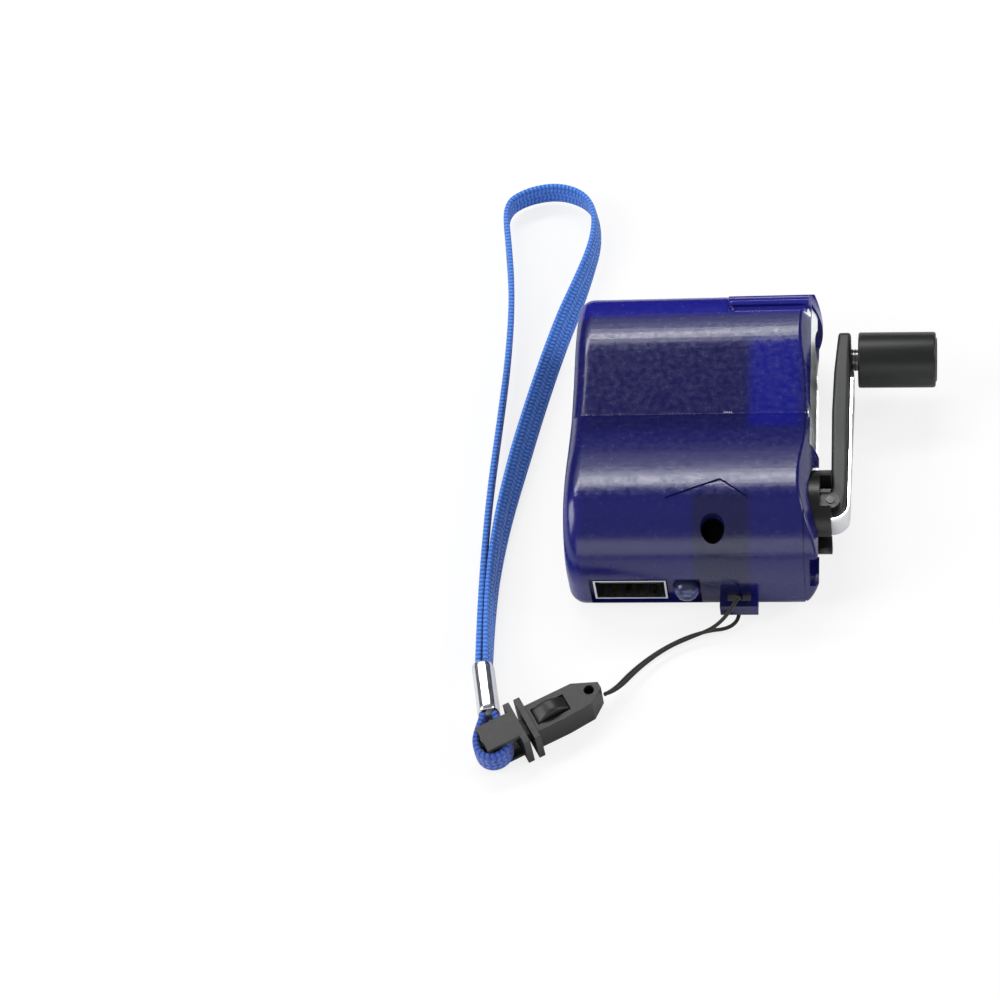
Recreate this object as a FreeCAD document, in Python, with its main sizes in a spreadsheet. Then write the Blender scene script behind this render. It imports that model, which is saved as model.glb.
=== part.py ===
import FreeCAD, Part
import math
import os
import re
import Sketcher
from FreeCAD import Vector

# Hand crank phone charger, lying on its flat back.
# +X points to the crank side, +Y to the far end, +Z out of the wavy front. The origin is the
# middle of the flat back face. All lengths are millimetres and all angles degrees.

SIZES = {
    # Housing
    "body_width": 46.5,
    "body_length": 58.0,
    "body_thickness": 22.0,
    "wall": 1.6,
    "wave_depth": 2.2,
    "crest_radius": 26.0,
    "far_crest": 9.9,
    "near_crest": 14.4,
    "nose_radius": 14.0,
    "far_corner_radius": 3.6,
    "left_trim": 0.7,
    "back_corner_radius": 3.7,
    "left_fillet": 3.2,
    "right_fillet": 0.8,
    "side_sag": 3.8,
    "parting_height": 10.0,
    "cap_depth": 2.85,
    "lip_depth": 1.4,
    "reveal_depth": 0.25,
    "fit_gap": 0.1,
    # Crank hub and its seat in the side
    "hub_from_end": 13.8,
    "hub_radius": 7.6,
    "hub_gap": 0.6,
    "hub_base": 0.8,
    "hub_proud": 2.0,
    "seat_floor": 2.75,
    "pin_height": 1.85,
    "pin_radius": 0.8,
    "ear_radius": 1.7,
    "ear_width": 1.3,
    "shaft_radius": 2.0,
    "run_clearance": 0.06,
    "bush_radius": 3.2,
    # Crank arm, cover and knob
    "knob_reach": 34.7,
    "arm_lean": 0.9,
    "arm_root_width": 5.0,
    "arm_tip_width": 8.0,
    "arm_root_radius": 2.9,
    "arm_straight": 14.0,
    "arm_belly": 0.3,
    "arm_tip_lift": 0.55,
    "tip_corner": 1.2,
    "stop_height": 0.7,
    "slot_gap": 0.5,
    "cover_thickness": 0.5,
    "cover_flare": 0.3,
    "knob_radius": 5.2,
    "knob_length": 14.3,
    "knob_stand": 1.4,
    "knob_cap_radius": 4.2,
    "knob_cap_depth": 0.7,
    "axle_radius": 1.5,
    "pocket_gap": 0.55,
    "pocket_wall": 1.0,
    # Bright plate beside the crank
    "plate_half": 7.9,
    "plate_channel": 4.5,
    "plate_base": 0.4,
    "plate_sink": 0.25,
    # Gears
    "gear_module": 0.4,
    "gear_width": 2.2,
    "gear_spacing": 2.8,
    "gear_backlash": 0.12,
    "axle_pin_radius": 0.75,
    "frame_thickness": 1.2,
    "frame_clear": 0.2,
    "frame_room": 0.3,
    "inner_frame_gap": 4.0,
    "post_radius": 1.1,
    # Generator
    "can_radius": 10.05,
    "can_room": 0.1,
    "can_side_gap": 1.95,
    "can_wall": 0.9,
    "end_cap_length": 2.9,
    "rotor_radius": 5.4,
    "rotor_room": 10.1,
    "shaft_pin_radius": 1.0,
    "magnet_gap": 0.5,
    # Electronics
    "board_thickness": 1.2,
    "board_stand": 0.3,
    "socket_width": 13.2,
    "socket_height": 5.8,
    "socket_depth": 14.0,
    "socket_sheet": 0.35,
    "socket_place": 11.0,
    "led_radius": 2.45,
    "led_place": 0.8,
    "capacitor_radius": 4.1,
    "capacitor_length": 12.0,
    "window_depth": 1.4,
    # Front details
    "notch_width": 17.4,
    "notch_depth": 3.8,
    "notch_step": 0.8,
    "hole_radius": 2.15,
    "groove_depth": 0.35,
    "groove_width": 0.4,
    "screw_radius": 0.9,
    "screw_head": 1.8,
    # Lanyard
    "eye_place": 8.6,
    "eye_width": 6.8,
    "eye_slot": 1.5,
    "eye_bar": 1.2,
    "cord_diameter": 0.7,
    "strap_width": 5.0,
    "strap_thickness": 1.2,
    "strap_lift": 0.9,
    "buckle_width": 6.0,
    "buckle_height": 5.6,
}

GEAR_TEETH = {"drive": 38, "first": 29, "second": 26, "pinion": 10}
PRESSURE_ANGLE = 20.0
PINION_SHIFT = 0.45

doc = FreeCAD.newDocument("hand_crank_charger")
sheet = doc.addObject("Spreadsheet::Sheet", "sizes")
for row, (alias, size) in enumerate(SIZES.items(), start=1):
    sheet.set(f"A{row}", alias)
    sheet.set(f"B{row}", str(size))
    sheet.setAlias(f"B{row}", alias)
doc.recompute()


def cells(text):
    """Writes the sheet's name before each size of a formula."""
    return re.sub(r"\b([a-z]+(?:_[a-z]+)+|wall)\b", r"sizes.\1", text)


def mm(text):
    """The value of a formula of the sheet's sizes."""
    return float(sheet.evalExpression(cells(text)))


def bind(thing, **formulas):
    for name, text in formulas.items():
        thing.setExpression(name, cells(text))
    return thing


def place(thing, corner):
    for axis, text in zip("xyz", corner):
        thing.setExpression(f"Placement.Base.{axis}", cells(text))
    return thing


# Places that follow from the driving sizes, as formulas
LEFT = "(left_trim - body_width / 2)"
RIGHT = "(body_width / 2)"
NEAR = "(-body_length / 2)"
FAR = "(body_length / 2)"
MIDDLE = "(body_thickness / 2)"
HUB_Y = "(hub_from_end - body_length / 2)"
CAP_X = "(body_width / 2 - cap_depth)"
LIP_X = "(body_width / 2 - cap_depth - lip_depth)"
SEAT_X = "(body_width / 2 - seat_floor)"
HUB_BACK_X = "(body_width / 2 - seat_floor + frame_clear)"
SLOT_X = "(body_width / 2 - seat_floor + frame_clear + hub_base)"
HUB_FACE_X = "(body_width / 2 + hub_proud)"
PIN_X = "(body_width / 2 + pin_height)"
KNOB_Y = "(hub_from_end - body_length / 2 + knob_reach)"
OUTER_FRAME_X = f"({LIP_X} - frame_clear - frame_thickness)"
DRIVE_X = f"({OUTER_FRAME_X} - 0.6 - gear_width)"
FIRST_X = f"({DRIVE_X} - gear_spacing)"
SECOND_X = f"({DRIVE_X} - 2 * gear_spacing)"
INNER_FRAME_X = f"({SECOND_X} - frame_thickness - inner_frame_gap)"
CAN_LENGTH = f"({INNER_FRAME_X} - end_cap_length - can_side_gap - wall - {LEFT})"
CAN_FLAT = "(body_thickness / 2 - wave_depth - wall - can_room)"
FRAME_HALF = "(body_thickness / 2 - wave_depth - wall - frame_room)"
DOME_RADIUS = "(((body_thickness / 2)^2 + side_sag^2) / (2 * side_sag))"
BOARD_TOP = "(wall + board_stand + board_thickness)"
TEETH_SUM = {stage: GEAR_TEETH[stage] + GEAR_TEETH["pinion"] for stage in ("drive", "first", "second")}
FIRST_Y = f"({HUB_Y} + gear_module * {TEETH_SUM['drive']} / 2)"
SECOND_Y = f"({FIRST_Y} + gear_module * {TEETH_SUM['first']} / 2)"
ROTOR_Y = f"({SECOND_Y} + gear_module * {TEETH_SUM['second']} / 2)"

ALONG_X = FreeCAD.Rotation(Vector(0, 1, 0), 90)
ALONG_MINUS_Y = FreeCAD.Rotation(Vector(1, 0, 0), 90)
ALONG_Z = FreeCAD.Rotation()


# Building blocks
def block(name, size, corner):
    """A box from its three lengths and its low corner, all formulas."""
    made = doc.addObject("Part::Box", name)
    bind(made, Length=size[0], Width=size[1], Height=size[2])
    return place(made, corner)


def rod(name, radius, length, start, turn=ALONG_X):
    """A cylinder from its start point along the turned Z axis."""
    made = doc.addObject("Part::Cylinder", name)
    made.Placement = FreeCAD.Placement(Vector(), turn)
    bind(made, Radius=radius, Height=length)
    return place(made, start)


def cut(name, base, *tools):
    """What is left of the base when the tools are taken out of it."""
    made = doc.addObject("Part::Cut", name)
    made.Base = base
    made.Tool = tools[0] if len(tools) == 1 else join(name + "_tools", *tools)
    return made


def join(name, *pieces):
    made = doc.addObject("Part::MultiFuse", name)
    made.Shapes = list(pieces)
    made.Refine = True
    return made


def common(name, first, second):
    made = doc.addObject("Part::Common", name)
    made.Base = first
    made.Tool = second
    return made


def plain(name, shape):
    """A shape made directly from Part's own functions."""
    made = doc.addObject("Part::Feature", name)
    made.Shape = shape
    return made


def prism(name, role, edges, start, length):
    """A sketch of the edges on one of the body's own planes, padded from start by length."""
    body = doc.addObject("PartDesign::Body", name)
    sketch = body.newObject("Sketcher::SketchObject", name + "_sketch")
    plane = [item for item in body.Origin.OriginFeatures if item.Role == role][0]
    sketch.AttachmentSupport = [(plane, "")]
    sketch.MapMode = "FlatFace"
    sketch.addGeometry(edges, False)
    for index in range(len(edges)):
        following = (index + 1) % len(edges)
        # The sketch may turn an arc round, so the two ends that meet are looked up
        ends = min(
            ((a, b) for a in (1, 2) for b in (1, 2)),
            key=lambda pair: sketch.getPoint(index, pair[0]).distanceToPoint(sketch.getPoint(following, pair[1])),
        )
        sketch.addConstraint(Sketcher.Constraint("Coincident", index, ends[0], following, ends[1]))
    sketch.setExpression("AttachmentOffset.Base.z", cells(start))
    pad = body.newObject("PartDesign::Pad", name + "_pad")
    pad.Profile = sketch
    bind(pad, Length=length)
    return body


def flat(x, y):
    return Vector(x, y, 0)


def chain(points):
    """Straight sketch edges through the points and back to the first."""
    closed = list(points) + [points[0]]
    return [Part.LineSegment(flat(*a), flat(*b)) for a, b in zip(closed, closed[1:])]


def arc_about(centre, radius, start, end):
    """A sketch arc about a centre from one angle to another, in degrees, through their middle."""
    turn = [math.radians(angle) for angle in (start, (start + end) / 2, end)]
    return Part.Arc(*[flat(centre[0] + radius * math.cos(a), centre[1] + radius * math.sin(a)) for a in turn])


def angle_of(centre, point):
    return math.degrees(math.atan2(point[1] - centre[1], point[0] - centre[0]))


# Outer form of the housing
def wave_outline(inset):
    """The housing's side profile, far to near: two crests with a valley between, a large nose
    curve at the near end, and a flat back. Every arc keeps its centre when the outline is inset."""
    half = mm("body_length / 2")
    crest_radius = mm("crest_radius")
    far_crest = (half - mm("far_crest"), mm("body_thickness") - crest_radius)
    near_crest = (mm("near_crest") - half, mm("body_thickness") - crest_radius)
    gap = (far_crest[0] - near_crest[0]) / 2
    depth = mm("wave_depth")
    radius_sum = (gap ** 2 + depth ** 2) / (2 * depth)
    valley_radius = radius_sum - crest_radius
    valley = ((far_crest[0] + near_crest[0]) / 2, mm("body_thickness") - depth + valley_radius)
    nose_radius = mm("nose_radius")
    nose_y = nose_radius - half
    nose = (nose_y, near_crest[1] + math.sqrt((crest_radius - nose_radius) ** 2 - (nose_y - near_crest[0]) ** 2))
    corner_radius = mm("far_corner_radius")
    corner_y = half - corner_radius
    corner = (corner_y, far_crest[1] + math.sqrt((crest_radius - corner_radius) ** 2 - (corner_y - far_crest[0]) ** 2))
    back_radius = mm("back_corner_radius")
    far_back = (half - back_radius, back_radius)
    near_back = (back_radius - half, back_radius)
    slope = angle_of(far_crest, valley)
    far_turn = angle_of(far_crest, corner)
    near_turn = angle_of(near_crest, nose)
    return [
        arc_about(corner, corner_radius - inset, 0, far_turn),
        arc_about(far_crest, crest_radius - inset, far_turn, slope),
        arc_about(valley, valley_radius + inset, slope - 180, -slope),
        arc_about(near_crest, crest_radius - inset, 180 - slope, near_turn),
        arc_about(nose, nose_radius - inset, near_turn, 180),
        Part.LineSegment(flat(inset - half, nose[1]), flat(inset - half, back_radius)),
        arc_about(near_back, back_radius - inset, 180, 270),
        Part.LineSegment(flat(near_back[0], inset), flat(far_back[0], inset)),
        arc_about(far_back, back_radius - inset, -90, 0),
        Part.LineSegment(flat(half - inset, back_radius), flat(half - inset, corner[1])),
    ]


def dome_outline(inset):
    """The housing seen from its near end: a right side that swells, and a left end well outside."""
    left = mm(LEFT) - 4
    middle = mm(MIDDLE)
    radius = mm(DOME_RADIUS) - inset
    centre = mm(RIGHT) - mm(DOME_RADIUS)
    reach = middle + 2
    across = math.sqrt(radius ** 2 - reach ** 2)
    low = (centre + across, middle - reach)
    high = (centre + across, middle + reach)
    turn = math.degrees(math.asin(reach / radius))
    return [
        Part.LineSegment(flat(left, low[1]), flat(*low)),
        arc_about((centre, middle), radius, -turn, turn),
        Part.LineSegment(flat(*high), flat(left, high[1])),
        Part.LineSegment(flat(left, high[1]), flat(left, low[1])),
    ]


def full_length_prism(name, edges):
    """A prism along the whole length, from the far end to the near end."""
    return prism(name, "XZ_Plane", edges, "-body_length / 2 - 1", "body_length + 2")


def wave_prism(name, inset, start, length):
    return prism(name, "YZ_Plane", wave_outline(mm(inset)), start, length)


outer_wave = wave_prism("outer_wave", "0", LEFT, "body_width")
outer_dome = full_length_prism("outer_dome", dome_outline(0))
sharp_form = common("sharp_form", outer_wave, outer_dome)
doc.recompute()


def rim_edges(shape, on_rim):
    """The numbers of the shape's edges whose sampled points all satisfy a test."""
    found = []
    for number, edge in enumerate(shape.Edges, start=1):
        first, last = edge.ParameterRange
        samples = [edge.valueAt(first + (last - first) * part / 4) for part in range(5)]
        if all(on_rim(point) for point in samples):
            found.append(number)
    return found


def is_left(point):
    return abs(point.x - mm(LEFT)) < 0.01


def is_dome(point):
    centre = mm(RIGHT) - mm(DOME_RADIUS)
    return abs(math.hypot(point.x - centre, point.z - mm(MIDDLE)) - mm(DOME_RADIUS)) < 0.01 and point.x > 0


outer_form = doc.addObject("Part::Fillet", "outer_form")
outer_form.Base = sharp_form
outer_form.Edges = [
    (number, mm("left_fillet"), mm("left_fillet")) for number in rim_edges(sharp_form.Shape, is_left)
] + [(number, mm("right_fillet"), mm("right_fillet")) for number in rim_edges(sharp_form.Shape, is_dome)]
doc.recompute()
print("outer form", outer_form.State, outer_form.Shape.isValid(), round(outer_form.Shape.Volume))

cavity_wave = wave_prism("cavity_wave", "wall", f"{LEFT} + wall", "body_width - wall - cap_depth")
cavity = common("cavity", cavity_wave, full_length_prism("inner_dome", dome_outline(mm("wall / 2"))))
hollow = cut("hollow", outer_form, cavity)

# Corner pocket in the front shell, which the side cap fills
NOTCH_X = f"({CAP_X} - notch_width + cap_depth)"
NOTCH_Y = "(body_length / 2 - notch_depth)"


def half_space(name, low_x, high_x, low_z, high_z):
    return block(name, (f"{high_x} - {low_x}", "body_length + 4", f"{high_z} - {low_z}"),
                 (low_x, f"{NEAR} - 2", low_z))


front_zone = half_space("front_zone", f"({LEFT} - 3)", CAP_X, "parting_height", "(body_thickness + 2)")
back_zone = half_space("back_zone", f"({LEFT} - 3)", CAP_X, "(-1)", "parting_height")
cap_zone = half_space("cap_zone", CAP_X, f"({RIGHT} + 2)", "(-1)", "(body_thickness + 2)")

SCREW_PLACES = [("(-body_width * 0.34)", "(body_length / 2 - 4.7)"), ("0.5", "(body_length / 2 - 4.7)"),
                ("(body_width / 2 - 10.4)", "(4.4 - body_length / 2)")]
BOSS_RADIUS = "(screw_head + 0.8)"

# Front shell: wavy cover with the round hole, the arrow groove and the screw bosses
front_raw = common("front_raw", hollow, front_zone)
front_bosses = []
inner_wave = wave_prism("inner_wave", "wall - 0.4", f"{LEFT} + 1", "body_width")
for number, (x, y) in enumerate(SCREW_PLACES):
    column = rod(f"front_column_{number}", BOSS_RADIUS, "body_thickness", (x, y, "parting_height"), ALONG_Z)
    front_bosses.append(common(f"front_boss_{number}", column, inner_wave))
front_body = join("front_body", front_raw, *front_bosses)
notch_tool = block("notch_tool", ("body_width", "body_length", "body_thickness"), (NOTCH_X, NOTCH_Y, "0"))
hole_tool = rod("hole_tool", "hole_radius", "body_thickness", ("4.5", "5.3 - body_length / 2", MIDDLE), ALONG_Z)
screw_tools = [
    rod(f"thread_{number}", "screw_radius", "5.4 + 1", (x, y, "parting_height - 1"), ALONG_Z)
    for number, (x, y) in enumerate(SCREW_PLACES)
]


def arrow_edges():
    """An open arrow with its point toward the far end, as a band of the groove's width."""
    half = mm("groove_width") / 2
    left_end, tip, right_end = (-3.9, mm(NEAR) + 10.0), (5.7, mm(NEAR) + 13.7), (10.8, mm(NEAR) + 10.0)
    return chain([
        (left_end[0], left_end[1] - half), (tip[0], tip[1] - half), (right_end[0], right_end[1] - half),
        (right_end[0], right_end[1] + half), (tip[0], tip[1] + 1.4 * half), (left_end[0], left_end[1] + half),
    ])


arrow_prism = prism("arrow_prism", "XY_Plane", arrow_edges(), MIDDLE, "body_thickness")
groove_core = wave_prism("groove_core", "groove_depth", f"{LEFT} - 1", "body_width + 4")
arrow_tool = cut("arrow_tool", arrow_prism, groove_core)
front_shell = cut("front_shell", front_body, notch_tool, hole_tool, arrow_tool, *screw_tools)

# Back shell: flat-backed tray with the socket window, the lanyard eye and the screw seats
back_raw = common("back_raw", hollow, back_zone)
WINDOW_LEFT = "(5 - body_width / 2)"
WINDOW_WIDTH = "(20.1)"
window_back = f"({NEAR} + window_depth)"
window_wall = block("window_wall", (f"{WINDOW_WIDTH} + 1", "1.4 + 0.2", "parting_height - 0.4"),
                    (f"{WINDOW_LEFT} - 0.5", window_back, "0.4"))
back_columns = [
    rod(f"back_column_{number}", BOSS_RADIUS, "parting_height - 0.4", (x, y, "0.4"), ALONG_Z)
    for number, (x, y) in enumerate(SCREW_PLACES)
]
board_rails = [
    block(f"board_rail_{number}", ("1.2", "14", "board_stand + 0.4"), (x, f"{NEAR} + 6", "wall - 0.4"))
    for number, x in enumerate(("-17", "-3", "8"))
]
EYE_LEFT = "(eye_place - eye_width / 2)"
eye_bar = block("eye_bar_solid", ("eye_width", "eye_bar", "2.8"), (EYE_LEFT, f"{NEAR} - eye_slot - eye_bar", "2.6"))
eye_legs = [
    block(f"eye_leg_{number}", ("eye_bar", "eye_slot + eye_bar + 0.8", "2.8"),
          (x, f"{NEAR} - eye_slot - eye_bar", "2.6"))
    for number, x in enumerate((EYE_LEFT, f"{EYE_LEFT} + eye_width - eye_bar"))
]
back_body = join("back_body", back_raw, window_wall, eye_bar, *eye_legs, *back_columns, *board_rails)
window_tool = block("window_tool", (WINDOW_WIDTH, "window_depth + 1", "parting_height - 2.2"),
                    (WINDOW_LEFT, f"{NEAR} - 1", "2.3"))
SOCKET_X = "(-socket_place)"
socket_tool = block("socket_tool", ("socket_width + 2 * fit_gap", "6", "socket_height + 2 * fit_gap"),
                    (f"{SOCKET_X} - socket_width / 2 - fit_gap", f"{NEAR} - 1", f"{BOARD_TOP} - fit_gap"))
LED_Z = f"({BOARD_TOP} + led_radius + 0.3)"
led_tool = rod("led_tool", "led_radius + fit_gap", "6", ("-led_place", f"{NEAR} + 5", LED_Z), ALONG_MINUS_Y)
seat_tools = []
for number, (x, y) in enumerate(SCREW_PLACES):
    seat_tools.append(rod(f"screw_way_{number}", "screw_radius + fit_gap", "body_thickness", (x, y, "-1"), ALONG_Z))
    seat_tools.append(rod(f"screw_seat_{number}", "screw_head + fit_gap", "2.4", (x, y, "-1"), ALONG_Z))
back_shell = cut("back_shell", back_body, window_tool, socket_tool, led_tool, *seat_tools)

# Side cap: swelling end cover with the hub seat, the arm channel and the knob pocket
cap_rim = common("cap_rim", outer_form, cap_zone)
lip_wave = wave_prism("lip_wave", "wall + fit_gap", LIP_X, "lip_depth + 0.5")
cap_lip = common("cap_lip", lip_wave, full_length_prism("lip_dome", dome_outline(mm("wall / 2 + fit_gap"))))
POCKET_RADIUS = "(knob_radius + pocket_gap)"
POCKET_END_X = f"({PIN_X} - arm_root_radius - knob_stand - knob_length - pocket_gap)"
sleeve = rod("sleeve", f"{POCKET_RADIUS} + pocket_wall", f"{CAP_X} - {POCKET_END_X} + pocket_wall + 0.5",
             (f"{POCKET_END_X} - pocket_wall", KNOB_Y, MIDDLE))
corner_wave = wave_prism("corner_wave", "notch_step", f"{NOTCH_X} + fit_gap", "body_width")
corner_zone = block("corner_zone", (f"{CAP_X} - {NOTCH_X} + 0.5", "notch_depth + 2", "body_thickness"),
                    (NOTCH_X, f"{NOTCH_Y} + fit_gap", "parting_height + fit_gap"))
corner_bar = common("corner_bar", corner_wave, corner_zone)
step_zone = block("step_zone", ("cap_depth + 2", "notch_depth + 2", "body_thickness"),
                  (f"{CAP_X} - 0.1", f"{NOTCH_Y} + fit_gap", "parting_height + fit_gap"))
corner_step = cut("corner_step", step_zone, corner_wave)
reveal_core = wave_prism("reveal_core", "reveal_depth", f"{CAP_X} - 1", "2 + reveal_depth")
reveal_ring = cut("reveal_ring", half_space("reveal_zone", f"({CAP_X} - 0.1)", f"({CAP_X} + reveal_depth)", "(-1)",
                                            "(body_thickness + 2)"), reveal_core)
cap_solid = join("cap_solid", cap_rim, cap_lip, sleeve, corner_bar)
cap_body = cut("cap_body", cap_solid, corner_step, reveal_ring)
hub_seat = rod("hub_seat", "hub_radius + hub_gap", "10", (SEAT_X, HUB_Y, MIDDLE))
shaft_way = rod("shaft_way", "bush_radius", "20", (f"{LIP_X} - 5", HUB_Y, MIDDLE))
PLATE_Y = f"({HUB_Y} + 9.6)"
PLATE_END = "(body_length / 2 - 2.6)"
PLATE_X = "(body_width / 2 - 2.55)"
plate_seat = block("plate_seat", ("8", f"{PLATE_END} - {PLATE_Y}", "2 * plate_half"),
                   (PLATE_X, PLATE_Y, f"{MIDDLE} - plate_half"))
CHANNEL_HALF = "(arm_root_width / 2 + slot_gap + 0.2)"
CHANNEL_X = f"({PIN_X} - arm_root_radius - cover_thickness - 0.3)"
arm_channel = block("arm_channel", ("8", f"{PLATE_Y} - {NEAR} + 2", f"2 * {CHANNEL_HALF}"),
                    (CHANNEL_X, f"{NEAR} - 1", f"{MIDDLE} - {CHANNEL_HALF}"))
knob_pocket = rod("knob_pocket", POCKET_RADIUS, "40", (POCKET_END_X, KNOB_Y, MIDDLE))
side_cap = cut("side_cap", cap_body, hub_seat, shaft_way, plate_seat, arm_channel, knob_pocket)

# Bright plate in the side cap, with a channel for the folded arm
plate_dome = full_length_prism("plate_dome", dome_outline(mm("plate_sink")))
plate_block = block("plate_block", ("8", f"{PLATE_END} - {PLATE_Y} - 2 * fit_gap", "2 * (plate_half - fit_gap)"),
                    (PLATE_X, f"{PLATE_Y} + fit_gap", f"{MIDDLE} - plate_half + fit_gap"))
plate_raw = common("plate_raw", plate_block, plate_dome)
plate_channel = block("plate_channel_tool", ("8", "body_length", "2 * plate_channel"),
                      (f"{PLATE_X} + plate_base", f"{PLATE_Y} - 1", f"{MIDDLE} - plate_channel"))
plate_pocket = rod("plate_pocket", POCKET_RADIUS, "40", (POCKET_END_X, KNOB_Y, MIDDLE))
side_plate = cut("side_plate", plate_raw, plate_channel, plate_pocket)

# Plain bearing of the crank shaft, flush with the floor of the hub seat
bush_rod = rod("bush_rod", "bush_radius", f"{SEAT_X} - {LIP_X}", (LIP_X, HUB_Y, MIDDLE))
bush_bore = rod("bush_bore", "shaft_radius + run_clearance", "20", (f"{LIP_X} - 5", HUB_Y, MIDDLE))
hub_bush = cut("hub_bush", bush_rod, bush_bore)

# Crank hub: disc with a slot for the arm root and two ears for the hinge pin
hub_disc = rod("hub_disc", "hub_radius", f"{HUB_FACE_X} - {HUB_BACK_X}", (HUB_BACK_X, HUB_Y, MIDDLE))
SLOT_HALF = "(arm_root_width / 2 + fit_gap)"
waist_half = "(ear_radius + 1.6)"
waist = block("waist", ("8", f"2 * {waist_half}", "4 * hub_radius"),
              (f"{RIGHT}", f"{HUB_Y} - {waist_half}", f"{MIDDLE} - 2 * hub_radius"))
hub_waisted = cut("hub_waisted", hub_disc, waist)
EAR_OUT = f"({SLOT_HALF} + ear_width)"
ear_rod = rod("ear_rod", "ear_radius", f"2 * {EAR_OUT}", (PIN_X, HUB_Y, f"{MIDDLE} - {EAR_OUT}"), ALONG_Z)
ear_foot = block("ear_foot", (f"{PIN_X} - {HUB_BACK_X}", "2 * ear_radius", f"2 * {EAR_OUT}"),
                 (HUB_BACK_X, f"{HUB_Y} - ear_radius", f"{MIDDLE} - {EAR_OUT}"))
hub_solid = join("hub_solid", hub_waisted, ear_rod, ear_foot)
root_slot = block("root_slot", ("12", "4 * hub_radius", f"2 * {SLOT_HALF}"),
                  (SLOT_X, f"{HUB_Y} - 2 * hub_radius", f"{MIDDLE} - {SLOT_HALF}"))
pin_way = rod("pin_way", "pin_radius", "20", (PIN_X, HUB_Y, f"{MIDDLE} - 10"), ALONG_Z)
crank_hub = cut("crank_hub", hub_solid, root_slot, pin_way)

SHAFT_END_X = f"({DRIVE_X} - 0.2)"
shaft_solid = rod("shaft_solid", "shaft_radius", f"{HUB_BACK_X} - {SHAFT_END_X}", (SHAFT_END_X, HUB_Y, MIDDLE))
shaft_thread = rod("shaft_thread", "screw_radius", "5", (f"{SHAFT_END_X} - 1", HUB_Y, MIDDLE))
hub_shaft = cut("hub_shaft", shaft_solid, shaft_thread)
screw_shank = rod("screw_shank", "screw_radius", "4", (SHAFT_END_X, HUB_Y, MIDDLE))
screw_cap = rod("screw_cap", "shaft_radius + 0.6", "1", (f"{SHAFT_END_X} - 1", HUB_Y, MIDDLE))
shaft_screw = join("shaft_screw", screw_shank, screw_cap)
hinge_pin = rod("hinge_pin", "pin_radius", f"2 * ({EAR_OUT} + 0.15)",
                (PIN_X, HUB_Y, f"{MIDDLE} - {EAR_OUT} - 0.15"), ALONG_Z)


# Crank arm, leaning out a little about the hinge pin
def arm_point(along, out):
    """A point of the leaning arm: distance from the pin along it, and distance out from it."""
    lean = math.radians(mm("arm_lean"))
    return (mm(PIN_X) + out * math.cos(lean) + along * math.sin(lean),
            mm(HUB_Y) + along * math.cos(lean) - out * math.sin(lean))


def through(*places):
    """A sketch arc through three points of the leaning arm."""
    return Part.Arc(*[flat(*arm_point(*where)) for where in places])


def straight(start, end):
    return Part.LineSegment(flat(*arm_point(*start)), flat(*arm_point(*end)))


ROOT = mm("arm_root_radius")
REACH = mm("knob_reach")
TIP = REACH + mm("arm_tip_width") / 2
INNER_START = ROOT + 0.4
MID_ALONG = (INNER_START + TIP) / 2
TIP_OUT = mm("arm_tip_lift")
arm_side_edges = [
    through((0, ROOT), (-ROOT, 0), (0, -ROOT)),
    straight((0, -ROOT), (0.5, -ROOT)),
    straight((0.5, -ROOT), (INNER_START, 0)),
    through((INNER_START, 0), (MID_ALONG, -mm("arm_belly")), (TIP, TIP_OUT)),
    straight((TIP, TIP_OUT), (TIP, ROOT - 0.2)),
    straight((TIP, ROOT - 0.2), (TIP - 0.4, ROOT)),
    straight((TIP - 0.4, ROOT), (0, ROOT)),
]
ARM_LOW = f"({MIDDLE} - arm_tip_width)"
arm_side = prism("arm_side", "XY_Plane", arm_side_edges, ARM_LOW, "2 * arm_tip_width")


def arm_plan_edges(narrow, wide, start, end, rounded):
    """The arm seen along the crank axis: a straight root, a widening middle and a square tip,
    whose corners can be rounded."""
    hub_y, middle = mm(HUB_Y), mm(MIDDLE)
    grow = mm("arm_straight")
    tip = (hub_y + end, middle)
    outline = [
        Part.LineSegment(flat(hub_y + start, middle + narrow), flat(hub_y + start, middle - narrow)),
        Part.LineSegment(flat(hub_y + start, middle - narrow), flat(hub_y + grow, middle - narrow)),
        Part.LineSegment(flat(hub_y + grow, middle - narrow), flat(tip[0], middle - wide)),
    ]
    if rounded:
        radius = mm("tip_corner")
        flank = wide - radius
        outline += [
            arc_about((tip[0], middle - flank), radius, -90, 0),
            Part.LineSegment(flat(tip[0] + radius, middle - flank), flat(tip[0] + radius, middle + flank)),
            arc_about((tip[0], middle + flank), radius, 0, 90),
        ]
    else:
        outline.append(Part.LineSegment(flat(tip[0], middle - wide), flat(tip[0], middle + wide)))
    outline.append(Part.LineSegment(flat(tip[0], middle + wide), flat(hub_y + grow, middle + narrow)))
    outline.append(Part.LineSegment(flat(hub_y + grow, middle + narrow), flat(hub_y + start, middle + narrow)))
    return outline


LEAN = math.radians(mm("arm_lean"))
arm_plan = prism("arm_plan", "YZ_Plane",
                 arm_plan_edges(mm("arm_root_width / 2"), mm("arm_tip_width / 2"), -8,
                                (TIP - 0.01) * math.cos(LEAN) - mm("tip_corner"), True),
                 RIGHT + " - 6", "16")
arm_solid = common("arm_solid", arm_side, arm_plan)
arm_pin_way = rod("arm_pin_way", "pin_radius + run_clearance", "20", (PIN_X, HUB_Y, f"{MIDDLE} - 10"), ALONG_Z)


def leaning_rod(name, radius, start_out, end_out):
    """A round piece on the knob's axis, between two distances out from the pin."""
    low = arm_point(REACH, start_out)
    aim = Vector(math.cos(LEAN), -math.sin(LEAN), 0)
    shape = Part.makeCylinder(radius, end_out - start_out, Vector(low[0], low[1], mm(MIDDLE)), aim)
    return plain(name, shape)


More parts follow.
